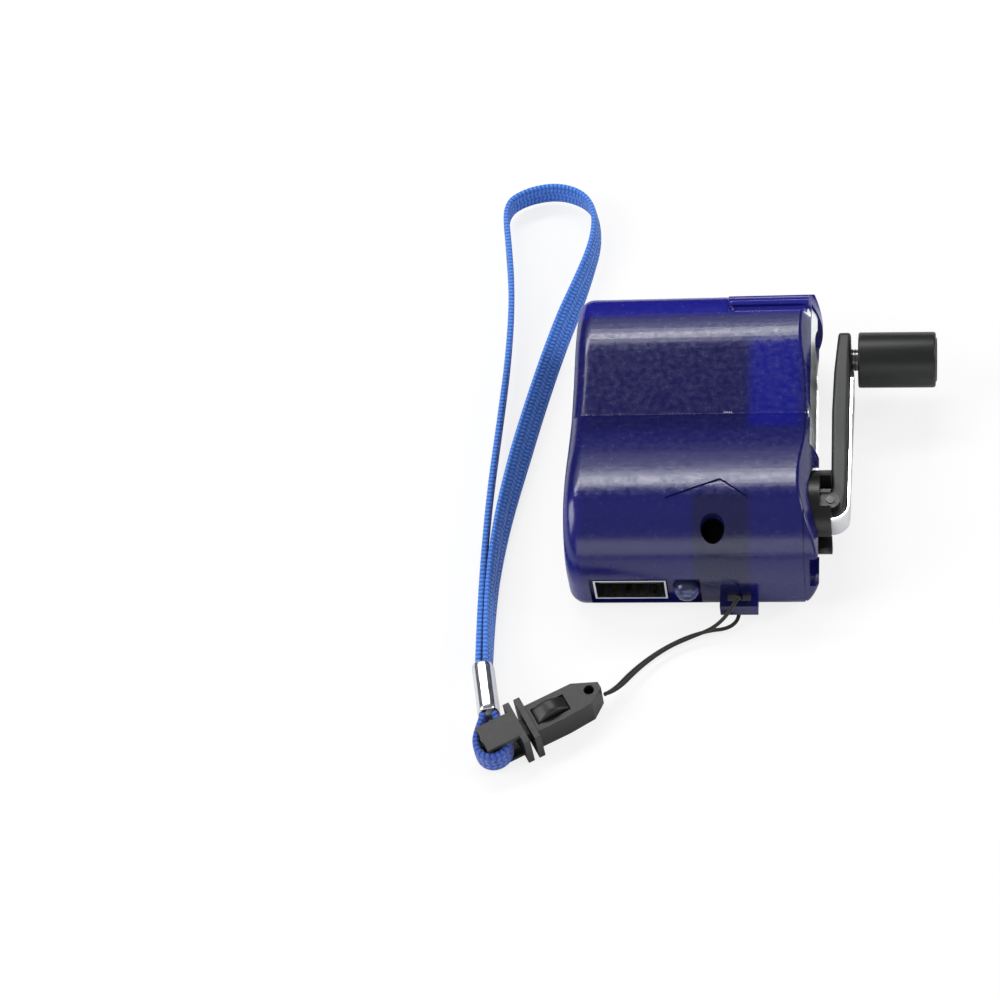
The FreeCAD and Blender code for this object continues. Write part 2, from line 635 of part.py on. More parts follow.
knob_way = leaning_rod("knob_way", mm("axle_radius"), -2, 8)
COVER_END = REACH - mm("knob_radius") - 1.4
stop_corners = [arm_point(*where) for where in (
    (COVER_END + 0.1, ROOT - 0.5), (COVER_END + 2.6, ROOT - 0.5), (COVER_END + 2.6, ROOT + mm("stop_height")),
    (COVER_END + 0.1, ROOT + mm("stop_height")))]
arm_stop = prism("arm_stop", "XY_Plane", chain(stop_corners), f"{MIDDLE} - 2.2", "4.4")
crank_arm = cut("crank_arm", join("arm_with_stop", arm_solid, arm_stop), arm_pin_way, knob_way)

# Bright cover strip that wraps the root and runs up the outer face of the arm
COVER = ROOT + mm("cover_thickness")
WRAP = math.radians(100)
cover_edges = [
    through((-ROOT * math.sin(WRAP), ROOT * math.cos(WRAP)),
            (-ROOT * math.sin(WRAP / 2), ROOT * math.cos(WRAP / 2)), (0, ROOT)),
    straight((0, ROOT), (COVER_END, ROOT)),
    straight((COVER_END, ROOT), (COVER_END, COVER + mm("cover_flare"))),
    straight((COVER_END, COVER + mm("cover_flare")), (0, COVER)),
    through((0, COVER), (-COVER * math.sin(WRAP / 2), COVER * math.cos(WRAP / 2)),
            (-COVER * math.sin(WRAP), COVER * math.cos(WRAP))),
    straight((-COVER * math.sin(WRAP), COVER * math.cos(WRAP)), (-ROOT * math.sin(WRAP), ROOT * math.cos(WRAP))),
]
cover_side = prism("cover_side", "XY_Plane", cover_edges, ARM_LOW, "2 * arm_tip_width")
cover_plan = prism("cover_plan", "YZ_Plane",
                   arm_plan_edges(mm("arm_root_width / 2"), mm("arm_tip_width / 2") - 0.6, -8, REACH, False),
                   RIGHT + " - 6", "16")
arm_cover = common("arm_cover", cover_side, cover_plan)

KNOB_IN = ROOT + mm("knob_stand")
KNOB_OUT = KNOB_IN + mm("knob_length")
AXLE_END = KNOB_OUT - 3
axle_rod = leaning_rod("axle_rod", mm("axle_radius"), TIP_OUT, AXLE_END)
axle_collar = leaning_rod("axle_collar", mm("axle_radius") + 0.5, ROOT, KNOB_IN - 0.1)
knob_axle = join("knob_axle", axle_rod, axle_collar)
knob_solid = leaning_rod("knob_solid", mm("knob_radius"), KNOB_IN, KNOB_OUT)
knob_bore = leaning_rod("knob_bore", mm("axle_radius + run_clearance"), KNOB_IN - 1, AXLE_END + 0.4)
knob_seat = leaning_rod("knob_seat", mm("knob_cap_radius"), KNOB_OUT - mm("knob_cap_depth"), KNOB_OUT + 1)
crank_knob = cut("crank_knob", knob_solid, knob_bore, knob_seat)
knob_cap = leaning_rod("knob_cap", mm("knob_cap_radius - 0.05"), KNOB_OUT - mm("knob_cap_depth"), KNOB_OUT + 0.25)


# Gear train: three steps up from the crank shaft to the generator
def gear_outline(teeth, shift, turn):
    """An involute gear's outline as points. Each flank is followed at the root, the base circle,
    the pitch circle and the tip, and turn is the angle of the first tooth's middle."""
    module = mm("gear_module")
    pressure = math.radians(PRESSURE_ANGLE)
    pitch = module * teeth / 2
    base = pitch * math.cos(pressure)
    tip = pitch + module * (0.8 if shift > 0 else 1.0) + module * shift
    root = pitch - module * 1.25 + module * shift
    involute = math.tan(pressure) - pressure
    half_tooth = (math.pi / 2 + 2 * shift * math.tan(pressure)) / teeth - mm("gear_backlash") / (4 * pitch)

    def half_angle(radius):
        spread = math.acos(min(1.0, base / radius))
        return half_tooth + involute - (math.tan(spread) - spread)

    flank = [(root, half_angle(base)), (base, half_angle(base)), (pitch, half_angle(pitch)), (tip, half_angle(tip))]
    points = []
    for tooth in range(teeth):
        middle = turn + 2 * math.pi * tooth / teeth
        points += [(radius, middle - angle) for radius, angle in flank]
        points += [(radius, middle + angle) for radius, angle in reversed(flank)]
    return points


def gear_shape(teeth, shift, turn, centre_y, low_x, high_x, bore):
    """A gear about an axis along X, between two X places, with a round bore."""
    middle = mm(MIDDLE)
    corners = [
        Vector(low_x, centre_y + radius * math.cos(angle), middle + radius * math.sin(angle))
        for radius, angle in gear_outline(teeth, shift, turn)
    ]
    face = Part.Face(Part.makePolygon(corners + [corners[0]]))
    solid = face.extrude(Vector(high_x - low_x, 0, 0))
    if bore:
        solid = solid.cut(Part.makeCylinder(bore, 60, Vector(-30, centre_y, middle), Vector(1, 0, 0)))
    return solid


HALF_PINION_TOOTH = math.pi / GEAR_TEETH["pinion"]
DRIVE, FIRST, SECOND = mm(DRIVE_X), mm(FIRST_X), mm(SECOND_X)
WIDTH = mm("gear_width")
AXLE_BORE = mm("axle_pin_radius + run_clearance")
drive_gear = plain("drive_gear", gear_shape(GEAR_TEETH["drive"], -PINION_SHIFT, 0, mm(HUB_Y), DRIVE, DRIVE + WIDTH,
                                            mm("shaft_radius")))


def compound_gear(name, teeth, centre_y, wheel_x):
    """A wheel with its pinion on the crank side, both turning on one axle."""
    wheel = gear_shape(teeth, -PINION_SHIFT, 0, centre_y, wheel_x, wheel_x + WIDTH, AXLE_BORE)
    pinion = gear_shape(GEAR_TEETH["pinion"], PINION_SHIFT, HALF_PINION_TOOTH, centre_y,
                        wheel_x + WIDTH, wheel_x + 2 * WIDTH + 0.8, AXLE_BORE)
    return plain(name, wheel.fuse(pinion))


first_gear = compound_gear("first_gear", GEAR_TEETH["first"], mm(FIRST_Y), FIRST)
second_gear = compound_gear("second_gear", GEAR_TEETH["second"], mm(SECOND_Y), SECOND)

# Gear frame: two plates, their posts and the two gear axles
FRAME_LOW = f"({MIDDLE} - {FRAME_HALF})"
PLATE_TALL = f"(2 * {FRAME_HALF} - 0.2)"
FRAME_END = f"({KNOB_Y} - {POCKET_RADIUS} - pocket_wall - 0.4)"


def frame_plate(name, low_x, low_y):
    return block(name, ("frame_thickness", f"{FRAME_END} - {low_y}", PLATE_TALL), (low_x, low_y, FRAME_LOW))


POST_PLACES = [(f"({FIRST_Y} + 4.6)", f"({FRAME_HALF} - 1.0)"), (f"({FIRST_Y} + 4.6)", f"(1.0 - {FRAME_HALF})"),
               (f"({FRAME_END} - 1.5)", f"({FRAME_HALF} - 1.7)"), (f"({FRAME_END} - 1.5)", f"(1.7 - {FRAME_HALF})")]
axle_length = f"({OUTER_FRAME_X} + frame_thickness - {INNER_FRAME_X})"
axle_rods = [rod(f"axle_{n}", "axle_pin_radius", axle_length, (INNER_FRAME_X, y, MIDDLE))
             for n, y in enumerate((FIRST_Y, SECOND_Y))]
gear_axles = join("gear_axles", *axle_rods)
inner_plate = frame_plate("inner_plate", INNER_FRAME_X, f"({FIRST_Y} - 4)")
outer_plate = frame_plate("outer_plate", OUTER_FRAME_X, f"({HUB_Y} - 4)")
inner_ways = [rod(f"inner_way_{n}", "axle_pin_radius", "60", ("-30", y, MIDDLE))
              for n, y in enumerate((FIRST_Y, SECOND_Y))]
nose_way = rod("nose_way", "3.1", "60", ("-30", ROTOR_Y, MIDDLE))
inner_gear_plate = cut("inner_gear_plate", inner_plate, nose_way, *inner_ways)
outer_ways = [rod(f"outer_way_{n}", "axle_pin_radius", "60", ("-30", y, MIDDLE))
              for n, y in enumerate((FIRST_Y, SECOND_Y))]
hub_way = rod("hub_way", "shaft_radius + 0.2", "60", ("-30", HUB_Y, MIDDLE))
outer_gear_plate = cut("outer_gear_plate", outer_plate, hub_way, *outer_ways)
post_rods = [
    rod(f"post_{n}", "post_radius", f"{OUTER_FRAME_X} - {INNER_FRAME_X} - frame_thickness",
        (f"{INNER_FRAME_X} + frame_thickness", y, f"{MIDDLE} + {z}"))
    for n, (y, z) in enumerate(POST_PLACES)
]
frame_posts = join("frame_posts", *post_rods)


# Generator: flat-sided can with two magnets, an end cap and its rotor
def flat_sided(name, radius, half_flat, start, length):
    round_rod = rod(name + "_round", radius, length, (start, ROTOR_Y, MIDDLE))
    slab = block(name + "_slab", (length, f"4 * {radius}", f"2 * {half_flat}"),
                 (start, f"{ROTOR_Y} - 2 * {radius}", f"{MIDDLE} - {half_flat}"))
    return common(name, round_rod, slab)


CAN_X = f"({INNER_FRAME_X} - {CAN_LENGTH})"
can_outer = flat_sided("can_outer", "can_radius", CAN_FLAT, CAN_X, CAN_LENGTH)
can_inner = flat_sided("can_inner", "(can_radius - can_wall)", f"({CAN_FLAT} - can_wall)", f"{CAN_X} - 1",
                       f"{CAN_LENGTH} - can_wall + 1")
can_nose = rod("can_nose", "3", "frame_thickness", (INNER_FRAME_X, ROTOR_Y, MIDDLE))
can_nose_way = rod("can_nose_way", "shaft_pin_radius + run_clearance", "60", ("-30", ROTOR_Y, MIDDLE))
can_body = join("can_body", cut("can_shell", can_outer, can_inner), can_nose)
generator_can = cut("generator_can", can_body, can_nose_way)

MAGNET_X = f"({CAN_X} + 4)"
magnet_ring = cut("magnet_ring",
                  flat_sided("magnet_outer", "(can_radius - can_wall)", "5", MAGNET_X, f"{CAN_LENGTH} - 6"),
                  rod("magnet_hollow", "rotor_radius + magnet_gap", "60", ("-30", ROTOR_Y, MIDDLE)))
generator_magnets = common("generator_magnets", magnet_ring,
                           block("magnet_zone", (CAN_LENGTH, "3 * can_radius", "9"),
                                 (CAN_X, f"{ROTOR_Y} - 1.5 * can_radius", f"{MIDDLE} - 4.5")))

END_CAP_X = f"({CAN_X} - end_cap_length)"
generator_end_cap = cut("generator_end_cap",
                        flat_sided("end_cap_solid", "(can_radius - 0.3)", f"({CAN_FLAT} - 0.3)", END_CAP_X,
                                   "end_cap_length"),
                        rod("end_cap_way", "shaft_pin_radius + run_clearance", "60", ("-30", ROTOR_Y, MIDDLE)))
TERMINAL_X = f"({END_CAP_X} - 1.3)"
terminal_tabs = [
    block(f"terminal_{n}", ("1.3", "0.5", "2.4"), (TERMINAL_X, f"{ROTOR_Y} + {y} - 0.25", f"{MIDDLE} - 1.2"))
    for n, y in enumerate(("5.5", "-5.5"))
]
generator_terminals = join("generator_terminals", *terminal_tabs)

rotor_shaft = rod("rotor_shaft", "shaft_pin_radius", f"{SECOND_X} + gear_width + 0.4 - {END_CAP_X}",
                  (END_CAP_X, ROTOR_Y, MIDDLE))
rotor_core = cut("rotor_core",
                 rod("core_solid", "rotor_radius", f"{CAN_LENGTH} - rotor_room", (f"{CAN_X} + 6", ROTOR_Y, MIDDLE)),
                 rod("core_bore", "shaft_pin_radius", "60", ("-30", ROTOR_Y, MIDDLE)))
commutator = cut("commutator",
                 rod("commutator_solid", "2.3", "3.6", (f"{CAN_X} + 1", ROTOR_Y, MIDDLE)),
                 rod("commutator_bore", "shaft_pin_radius", "60", ("-30", ROTOR_Y, MIDDLE)))
rotor_pinion = plain("rotor_pinion", gear_shape(GEAR_TEETH["pinion"], PINION_SHIFT, HALF_PINION_TOOTH, mm(ROTOR_Y),
                                                SECOND - 0.4, SECOND + WIDTH + 0.4, mm("shaft_pin_radius")))

# Circuit board and what stands on it
BOARD_LOW = "(wall + board_stand)"
board_slab = block("board_slab", ("31.2", "20.6", "board_thickness"), ("4.8 - body_width / 2", f"{NEAR} + 3.4", BOARD_LOW))
board_notch = rod("board_notch", "screw_head + 1.2", "10", (SCREW_PLACES[2][0], SCREW_PLACES[2][1], "0"), ALONG_Z)
circuit_board = cut("circuit_board", board_slab, board_notch)

SOCKET_LEFT = f"({SOCKET_X} - socket_width / 2)"
SOCKET_Y = f"({NEAR} + 0.6)"
socket_block = block("socket_block", ("socket_width", "socket_depth", "socket_height"),
                     (SOCKET_LEFT, SOCKET_Y, BOARD_TOP))
socket_cavity = block("socket_cavity", ("socket_width - 2 * socket_sheet", "socket_depth",
                                        "socket_height - 2 * socket_sheet"),
                      (f"{SOCKET_LEFT} + socket_sheet", f"{SOCKET_Y} - socket_sheet", f"{BOARD_TOP} + socket_sheet"))
usb_shell = cut("usb_shell", socket_block, socket_cavity)
TONGUE_Z = f"({BOARD_TOP} + socket_height - socket_sheet - 2.4)"
usb_tongue = join("usb_tongue",
                  block("tongue_blade", ("11.1", "9.4", "1.8"), (f"{SOCKET_X} - 5.55", f"{SOCKET_Y} + 1.3", TONGUE_Z)),
                  block("tongue_base", ("socket_width - 2 * socket_sheet", "3.2", "socket_height - 2 * socket_sheet"),
                        (f"{SOCKET_LEFT} + socket_sheet", f"{SOCKET_Y} + socket_depth - socket_sheet - 3.3",
                         f"{BOARD_TOP} + socket_sheet")))
contact_strips = [
    block(f"contact_{n}", ("1", "7", "0.2"), (f"{SOCKET_X} + {x} - 0.5", f"{SOCKET_Y} + 2.4", f"{TONGUE_Z} - 0.2"))
    for n, x in enumerate(("-3.5", "-1.0", "1.0", "3.5"))
]
usb_contacts = join("usb_contacts", *contact_strips)

led_start = f"({NEAR} + 6)"
led_rod = rod("led_rod", "led_radius", "4.9", ("-led_place", led_start, LED_Z), ALONG_MINUS_Y)
led_dome = doc.addObject("Part::Sphere", "led_dome")
bind(led_dome, Radius="led_radius")
place(led_dome, ("-led_place", f"{led_start} - 4.9", LED_Z))
led_flange = rod("led_flange", "led_radius + 0.25", "1", ("-led_place", f"{led_start}", LED_Z), ALONG_MINUS_Y)
indicator_led = join("indicator_led", led_rod, led_dome, led_flange)

smoothing_capacitor = rod("smoothing_capacitor", "capacitor_radius", "capacitor_length",
                          ("6.3", f"{NEAR} + 18.8", f"{BOARD_TOP} + capacitor_radius + 0.05"), ALONG_MINUS_Y)
diode_blocks = [
    block(f"diode_{n}", ("4.2", "2.4", "2"), ("-1.6", f"{NEAR} + {y}", BOARD_TOP))
    for n, y in enumerate(("9", "12.5", "16", "19.5"))
]
rectifier_diodes = join("rectifier_diodes", *diode_blocks)
regulator_chip = block("regulator_chip", ("5", "4", "1.6"), ("-10", f"{NEAR} + 17.6", BOARD_TOP))


# Rounded routes for wires, cord and strap
def rounded_route(points, share=0.45):
    """Straight runs joined by tangent arcs, each as large as its two runs allow. Gives the edges'
    points: two for a run and three for an arc, and the arcs' radii."""
    corners = [Vector(*point) for point in points]
    pieces, radii = [], []
    last = corners[0]
    for before, corner, after in zip(corners, corners[1:], corners[2:]):
        arriving = (corner - before).normalize()
        leaving = (after - corner).normalize()
        turn = arriving.getAngle(leaving)
        setback = share * min((corner - before).Length, (after - corner).Length)
        radius = setback / math.tan(turn / 2)
        start, end = corner - arriving * setback, corner + leaving * setback
        inward = (leaving - arriving).normalize()
        middle = corner + inward * (radius / math.cos(turn / 2) - radius)
        pieces.append((last, start))
        pieces.append((start, middle, end))
        radii.append(radius)
        last = end
    pieces.append((last, corners[-1]))
    return pieces, radii


def route_tube(name, points, diameter):
    """A round tube along a rounded route, with its radii and volume printed as a check."""
    pieces, radii = rounded_route(points)
    edges = [Part.LineSegment(*piece).toShape() if len(piece) == 2 else Part.Arc(*piece).toShape() for piece in pieces]
    path = Part.Wire(edges)
    start = edges[0].valueAt(edges[0].FirstParameter)
    heading = edges[0].tangentAt(edges[0].FirstParameter)
    ring = Part.Wire(Part.makeCircle(diameter / 2, start, heading))
    tube = path.makePipeShell([ring], True, True, 2)
    wanted = math.pi * diameter ** 2 / 4 * path.Length
    print(name, "length", round(path.Length, 1), "radii", [round(r, 1) for r in radii],
          "volume ratio", round(tube.Volume / wanted, 4))
    return tube


wire_low = mm(BOARD_TOP) + 0.1
wire_shapes = []
for side in (5.5, -5.5):
    wire_y = mm(ROTOR_Y) + side
    wire_x = mm(TERMINAL_X) + 0.6
    wire_shapes.append(route_tube("lead_wire", [
        (wire_x, wire_y - 0.75, mm(MIDDLE)), (wire_x + 0.2, wire_y - 3.5, mm(MIDDLE) - 1.5 - side / 8),
        (wire_x + 0.6 + side / 20, -4.5, 7.0), (wire_x + 1.4 + (side + 5.5) / 8, -7.5, 4.6),
        (wire_x + 1.6 + (side + 5.5) / 8, -7.9, wire_low)], 0.9))
lead_wires = plain("lead_wires", Part.makeCompound(wire_shapes))

# Housing screws
screw_pieces = []
for number, (x, y) in enumerate(SCREW_PLACES):
    head = rod(f"screw_head_{number}", "screw_head", "1.4", (x, y, "0"), ALONG_Z)
    shank = rod(f"screw_body_{number}", "screw_radius", "15", (x, y, "0.3"), ALONG_Z)
    screw_pieces.append(join(f"screw_{number}", head, shank))
housing_screws = join("housing_screws", *screw_pieces)


# Lanyard: strap loop, ferrule, buckle and the thin cord to the eye
def band_shape(points, thickness, low, height):
    """A flat band standing on its edge along a level route."""
    pieces, radii = rounded_route([(x, y, 0) for x, y in points])
    half = thickness / 2
    sides = {1: [], -1: []}
    for piece in pieces:
        if len(piece) == 2:
            heading = (piece[1] - piece[0]).normalize()
            normals = [Vector(-heading.y, heading.x, 0)] * 2
        else:
            curve = Part.Arc(*piece)
            normals = []
            for point in piece:
                heading = curve.tangent(curve.parameter(point))[0]
                normals.append(Vector(-heading.y, heading.x, 0))
            if (piece[2] - piece[0]).dot(curve.tangent(curve.parameter(piece[0]))[0]) < 0:
                normals = [normal * -1 for normal in normals]
        for sign in sides:
            sides[sign].append([point + normal * (half * sign) for point, normal in zip(piece, normals)])
    outline = [piece for piece in sides[1]]
    outline.append([outline[-1][-1], sides[-1][-1][-1]])
    outline += [list(reversed(piece)) for piece in reversed(sides[-1])]
    outline.append([outline[-1][-1], outline[0][0]])
    edges = [Part.LineSegment(*piece).toShape() if len(piece) == 2 else Part.Arc(*piece).toShape()
             for piece in outline]
    face = Part.Face(Part.Wire(edges))
    face.translate(Vector(0, 0, low))
    print("band radii", [round(r, 1) for r in radii])
    return face.extrude(Vector(0, 0, height))


STRAP_ROUTE = [
    (-37.9, -43.58), (-38.5, -34.0), (-39.0, -20.0), (-39.1, -5.0), (-38.6, 11.0), (-38.2, 27.0), (-38.7, 43.0),
    (-40.6, 57.0), (-42.1, 66.3), (-37.4, 70.0), (-30.4, 71.0), (-24.0, 67.2), (-22.4, 58.6), (-24.4, 48.0),
    (-28.2, 34.0), (-31.4, 19.0), (-34.4, 2.0), (-36.6, -14.0), (-37.2, -30.0), (-36.3, -43.25),
]
wrist_strap = plain("wrist_strap", band_shape(STRAP_ROUTE, mm("strap_thickness"), mm("strap_lift"), mm("strap_width")))


def turned_block(name, centre, angle, size, low):
    """A box with its middle at a place, turned about Z by an angle, from low upward."""
    made = Part.makeBox(size[0], size[1], size[2], Vector(-size[0] / 2, -size[1] / 2, low))
    made.rotate(Vector(), Vector(0, 0, 1), angle)
    made.translate(Vector(centre[0], centre[1], 0))
    return plain(name, made)


FERRULE_TOP = (-37.1, -43.6)
FERRULE_END = (-35.1, -53.6)
ferrule_angle = angle_of(FERRULE_TOP, FERRULE_END)
ferrule_length = math.dist(FERRULE_TOP, FERRULE_END)
ferrule_middle = ((FERRULE_TOP[0] + FERRULE_END[0]) / 2, (FERRULE_TOP[1] + FERRULE_END[1]) / 2)
strap_height = mm("strap_width")
strap_low = mm("strap_lift")
ferrule_outer = turned_block("ferrule_outer", ferrule_middle, ferrule_angle,
                             (ferrule_length, 4.0, strap_height + 1.4), strap_low - 0.7)
strap_ferrule = doc.addObject("Part::Fillet", "strap_ferrule")
strap_ferrule.Base = ferrule_outer
long_edges = [n for n, edge in enumerate(ferrule_outer.Shape.Edges, 1) if edge.Length > ferrule_length - 0.1]
strap_ferrule.Edges = [(n, 1.7, 1.7) for n in long_edges]

POST = (-33.9, -59.2)
LOOP_ROUTE = [
    (-35.9, -53.97), (-36.5, -56.4), (-37.0, -59.4), (-36.0, -61.9), (-33.9, -62.8), (-31.7, -61.8), (-30.7, -59.4),
    (-32.2, -56.6), (-34.0, -53.62),
]
strap_loop = plain("strap_loop", band_shape(LOOP_ROUTE, mm("strap_thickness") * 0.9, strap_low, strap_height))

BUCKLE_ANGLE = 30.0
NOSE = (-15.2, -48.2)


def on_buckle(along, across=0.0):
    """A place on the buckle's axis, measured from the strap post toward the nose."""
    turn = math.radians(BUCKLE_ANGLE)
    return (POST[0] + along * math.cos(turn) - across * math.sin(turn),
            POST[1] + along * math.sin(turn) + across * math.cos(turn))


buckle_height = mm("buckle_height")
buckle_width = mm("buckle_width")
plate_gap_low = strap_low - 0.15
plate_gap_high = strap_low + strap_height + 0.15
buckle_top = plate_gap_high + 0.9
tail_low = turned_block("tail_low", on_buckle(1.4), BUCKLE_ANGLE, (6.4, buckle_width - 0.6, plate_gap_low), 0)
tail_high = turned_block("tail_high", on_buckle(1.4), BUCKLE_ANGLE, (6.4, buckle_width - 0.6, 0.9), plate_gap_high)
tail_post = plain("tail_post", Part.makeCylinder(2.0, buckle_top, Vector(POST[0], POST[1], 0)))
flange_near = turned_block("flange_near", on_buckle(5.0), BUCKLE_ANGLE, (1.2, 9.0, buckle_top), 0)
plug_blade = turned_block("plug_blade", on_buckle(8.0), BUCKLE_ANGLE, (6.6, 3.6, 2.2), 2.2)
buckle_plug = join("buckle_plug", tail_low, tail_high, tail_post, flange_near, plug_blade)


def buckle_edges():
    """The buckle's socket seen from above: parallel sides, then a nose that bends to a point."""
    half = buckle_width / 2
    return chain([on_buckle(*where) for where in (
        (7.7, -half), (13.5, -half), (18.6, -half + 0.4), (21.4, -0.4), (21.4, 0.9), (17.0, half), (7.7, half))])


socket_body = prism("socket_body", "XY_Plane", buckle_edges(), "0.4", "buckle_height")
flange_far = turned_block("flange_far", on_buckle(7.1), BUCKLE_ANGLE, (1.2, 9.0, buckle_top), 0)
blade_way = turned_block("blade_way", on_buckle(8.0), BUCKLE_ANGLE, (7.0, 4.0, 2.6), 2.0)
latch_way = turned_block("latch_way", on_buckle(11.6), BUCKLE_ANGLE, (6.4, 3.4, 3.0), 5.0)
nose_way_tool = plain("nose_hole", Part.makeCylinder(0.9, 20, Vector(*on_buckle(19.3, 0.2), -5)))
buckle_socket = cut("buckle_socket", join("socket_solid", socket_body, flange_far), blade_way, latch_way,
                    nose_way_tool)
buckle_latch = turned_block("buckle_latch", on_buckle(11.6), BUCKLE_ANGLE, (6.0, 3.0, 1.2), 5.6)

EYE_X = mm("eye_place")
SLOT_Y = mm(f"{NEAR} - eye_slot / 2")
CORD_ROUTE = [
    (*on_buckle(21.9, -0.1), 2.6), (*on_buckle(24.0, 0.4), 1.7), (-10.6, -42.6, 0.9), (-6.2, -38.4, 0.7),
    (-1.4, -35.4, 0.7), (3.0, -33.9, 0.8), (6.2, -33.6, 0.9), (8.0, -32.2, 0.9), (8.5, -30.4, 1.3),
    (8.7, SLOT_Y, 2.6), (8.7, SLOT_Y, 5.4), (8.4, -30.8, 6.6), (7.4, -32.6, 6.2), (5.8, -33.7, 4.2),
    (3.6, -34.6, 2.4), (0.0, -35.8, 1.7), (-4.4, -38.0, 1.6), (-9.0, -42.2, 1.8), (*on_buckle(23.9, -0.6), 2.6),
    (*on_buckle(21.9, -0.6), 3.6),
]
cord_loop = plain("cord_loop", route_tube("cord_loop", CORD_ROUTE, mm("cord_diameter")))

NODES = [
    "front_shell", "back_shell", "side_cap", "side_plate", "hub_bush", "crank_hub", "hub_shaft", "shaft_screw",
    "hinge_pin", "drive_gear", "crank_arm", "arm_cover", "knob_axle", "crank_knob", "knob_cap", "first_gear",
    "second_gear", "gear_axles", "inner_gear_plate", "outer_gear_plate", "frame_posts", "generator_can",
    "generator_magnets", "generator_end_cap", "generator_terminals", "rotor_shaft", "rotor_core", "commutator",
    "rotor_pinion", "circuit_board", "usb_shell", "usb_tongue", "usb_contacts", "indicator_led",
    "smoothing_capacitor", "rectifier_diodes", "regulator_chip", "lead_wires", "housing_screws", "wrist_strap",
    "strap_ferrule", "strap_loop", "buckle_plug", "buckle_socket", "buckle_latch", "cord_loop",
]
doc.recompute()
for item in doc.Objects:
    if "Invalid" in item.State or "Error" in item.State:
        raise RuntimeError(f"{item.Name} did not build: {item.State}")
os.makedirs("parts", exist_ok=True)
for node in NODES:
    part = doc.getObject(node)
    if part.Shape.isNull() or not part.Shape.isValid() or not part.Shape.Solids:
        raise RuntimeError(f"{node} has no sound solid")
    part.Label = node
    part.Shape.exportStep(f"parts/{node}.step")
    print(node, len(part.Shape.Solids), round(part.Shape.Volume, 2))
print("knob axis", [round(part, 6) for part in arm_point(REACH, 10.0)], round(math.cos(LEAN), 8), round(math.sin(LEAN), 8))
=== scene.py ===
import math

import bmesh
import bpy
import numpy as np
from mathutils import Matrix, Vector
from mathutils.bvhtree import BVHTree


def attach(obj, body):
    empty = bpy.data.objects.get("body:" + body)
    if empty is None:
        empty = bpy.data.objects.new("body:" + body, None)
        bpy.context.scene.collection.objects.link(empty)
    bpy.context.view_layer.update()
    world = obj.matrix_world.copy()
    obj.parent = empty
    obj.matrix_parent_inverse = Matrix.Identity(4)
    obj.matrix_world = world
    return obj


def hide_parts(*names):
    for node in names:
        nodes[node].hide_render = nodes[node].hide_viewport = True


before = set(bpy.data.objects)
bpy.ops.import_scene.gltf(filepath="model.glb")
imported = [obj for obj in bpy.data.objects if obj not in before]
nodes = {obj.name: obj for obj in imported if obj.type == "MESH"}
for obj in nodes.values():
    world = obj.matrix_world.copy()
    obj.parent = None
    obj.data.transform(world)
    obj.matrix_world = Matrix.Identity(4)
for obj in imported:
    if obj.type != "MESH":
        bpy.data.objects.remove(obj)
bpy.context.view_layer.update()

# Camera: a normal lens looking steeply down from the socket end and a little from the crank side,
# with the horizon rolled to the left, as in the product picture.
CAMERA_AZIMUTH, CAMERA_ELEVATION, CAMERA_ROLL = 15.611, 53.942, -13.351
CAMERA_PLACE = Vector((0.037927, -0.274971, 0.386394))
LENS_MM, SENSOR_MM, NEAREST_SEEN = 90.468, 36, 0.01


def camera_axes(azimuth, elevation, roll):
    """Right, up and backward of a camera from its three angles in degrees."""
    a, e, r = (math.radians(angle) for angle in (azimuth, elevation, roll))
    backward = Vector((math.sin(a) * math.cos(e), -math.cos(a) * math.cos(e), math.sin(e)))
    level = Vector((math.cos(a), math.sin(a), 0))
    upright = backward.cross(level)
    right = math.cos(r) * level + math.sin(r) * upright
    return right, -math.sin(r) * level + math.cos(r) * upright, backward


camera_data = bpy.data.cameras.new("camera")
camera_data.sensor_width = SENSOR_MM
camera_data.lens = LENS_MM
camera_data.clip_start = NEAREST_SEEN
camera = bpy.data.objects.new("camera", camera_data)
bpy.context.scene.collection.objects.link(camera)
turned = Matrix(camera_axes(CAMERA_AZIMUTH, CAMERA_ELEVATION, CAMERA_ROLL)).transposed().to_4x4()
camera.matrix_world = Matrix.Translation(CAMERA_PLACE) @ turned
bpy.context.scene.camera = camera
bpy.context.scene.view_settings.view_transform = "Standard"

# Table and light: a seamless white sweep under a pale sky that is dim toward the far side. A long
# strip lamp beyond the far end makes the two soft bands along the crests of the housing, and broad
# lamps on the other three sides lift the black plastic and the bright metal.
FLOOR_WHITE, FLOOR_GLOW = 0.9, 0.8
FLOOR_HALF, FLOOR_GAP = 3, 0.00004
SKY_LOW, SKY_HIGH = (0.32, 0.33, 0.35, 1), (0.85, 0.85, 0.86, 1)


def put(kind, tree, **values):
    """Adds a shader node and sets its input sockets, or its own settings, by name."""
    node = tree.nodes.new(kind)
    for key, value in values.items():
        socket = node.inputs.get(key.replace("_", " "))
        if socket is not None:
            socket.default_value = value
        else:
            setattr(node, key, value)
    return node


def wire(tree, *pairs):
    """Links pairs of sockets in a node tree, each from an output to an input."""
    for start, end in pairs:
        tree.links.new(start, end)


def ink(red, green, blue):
    """A colour as it is seen, 0 to 255, as the linear colour that a shader takes."""
    shares = (value / 255 for value in (red, green, blue))
    return tuple(c / 12.92 if c <= 0.04045 else ((c + 0.055) / 1.055) ** 2.4 for c in shares) + (1,)


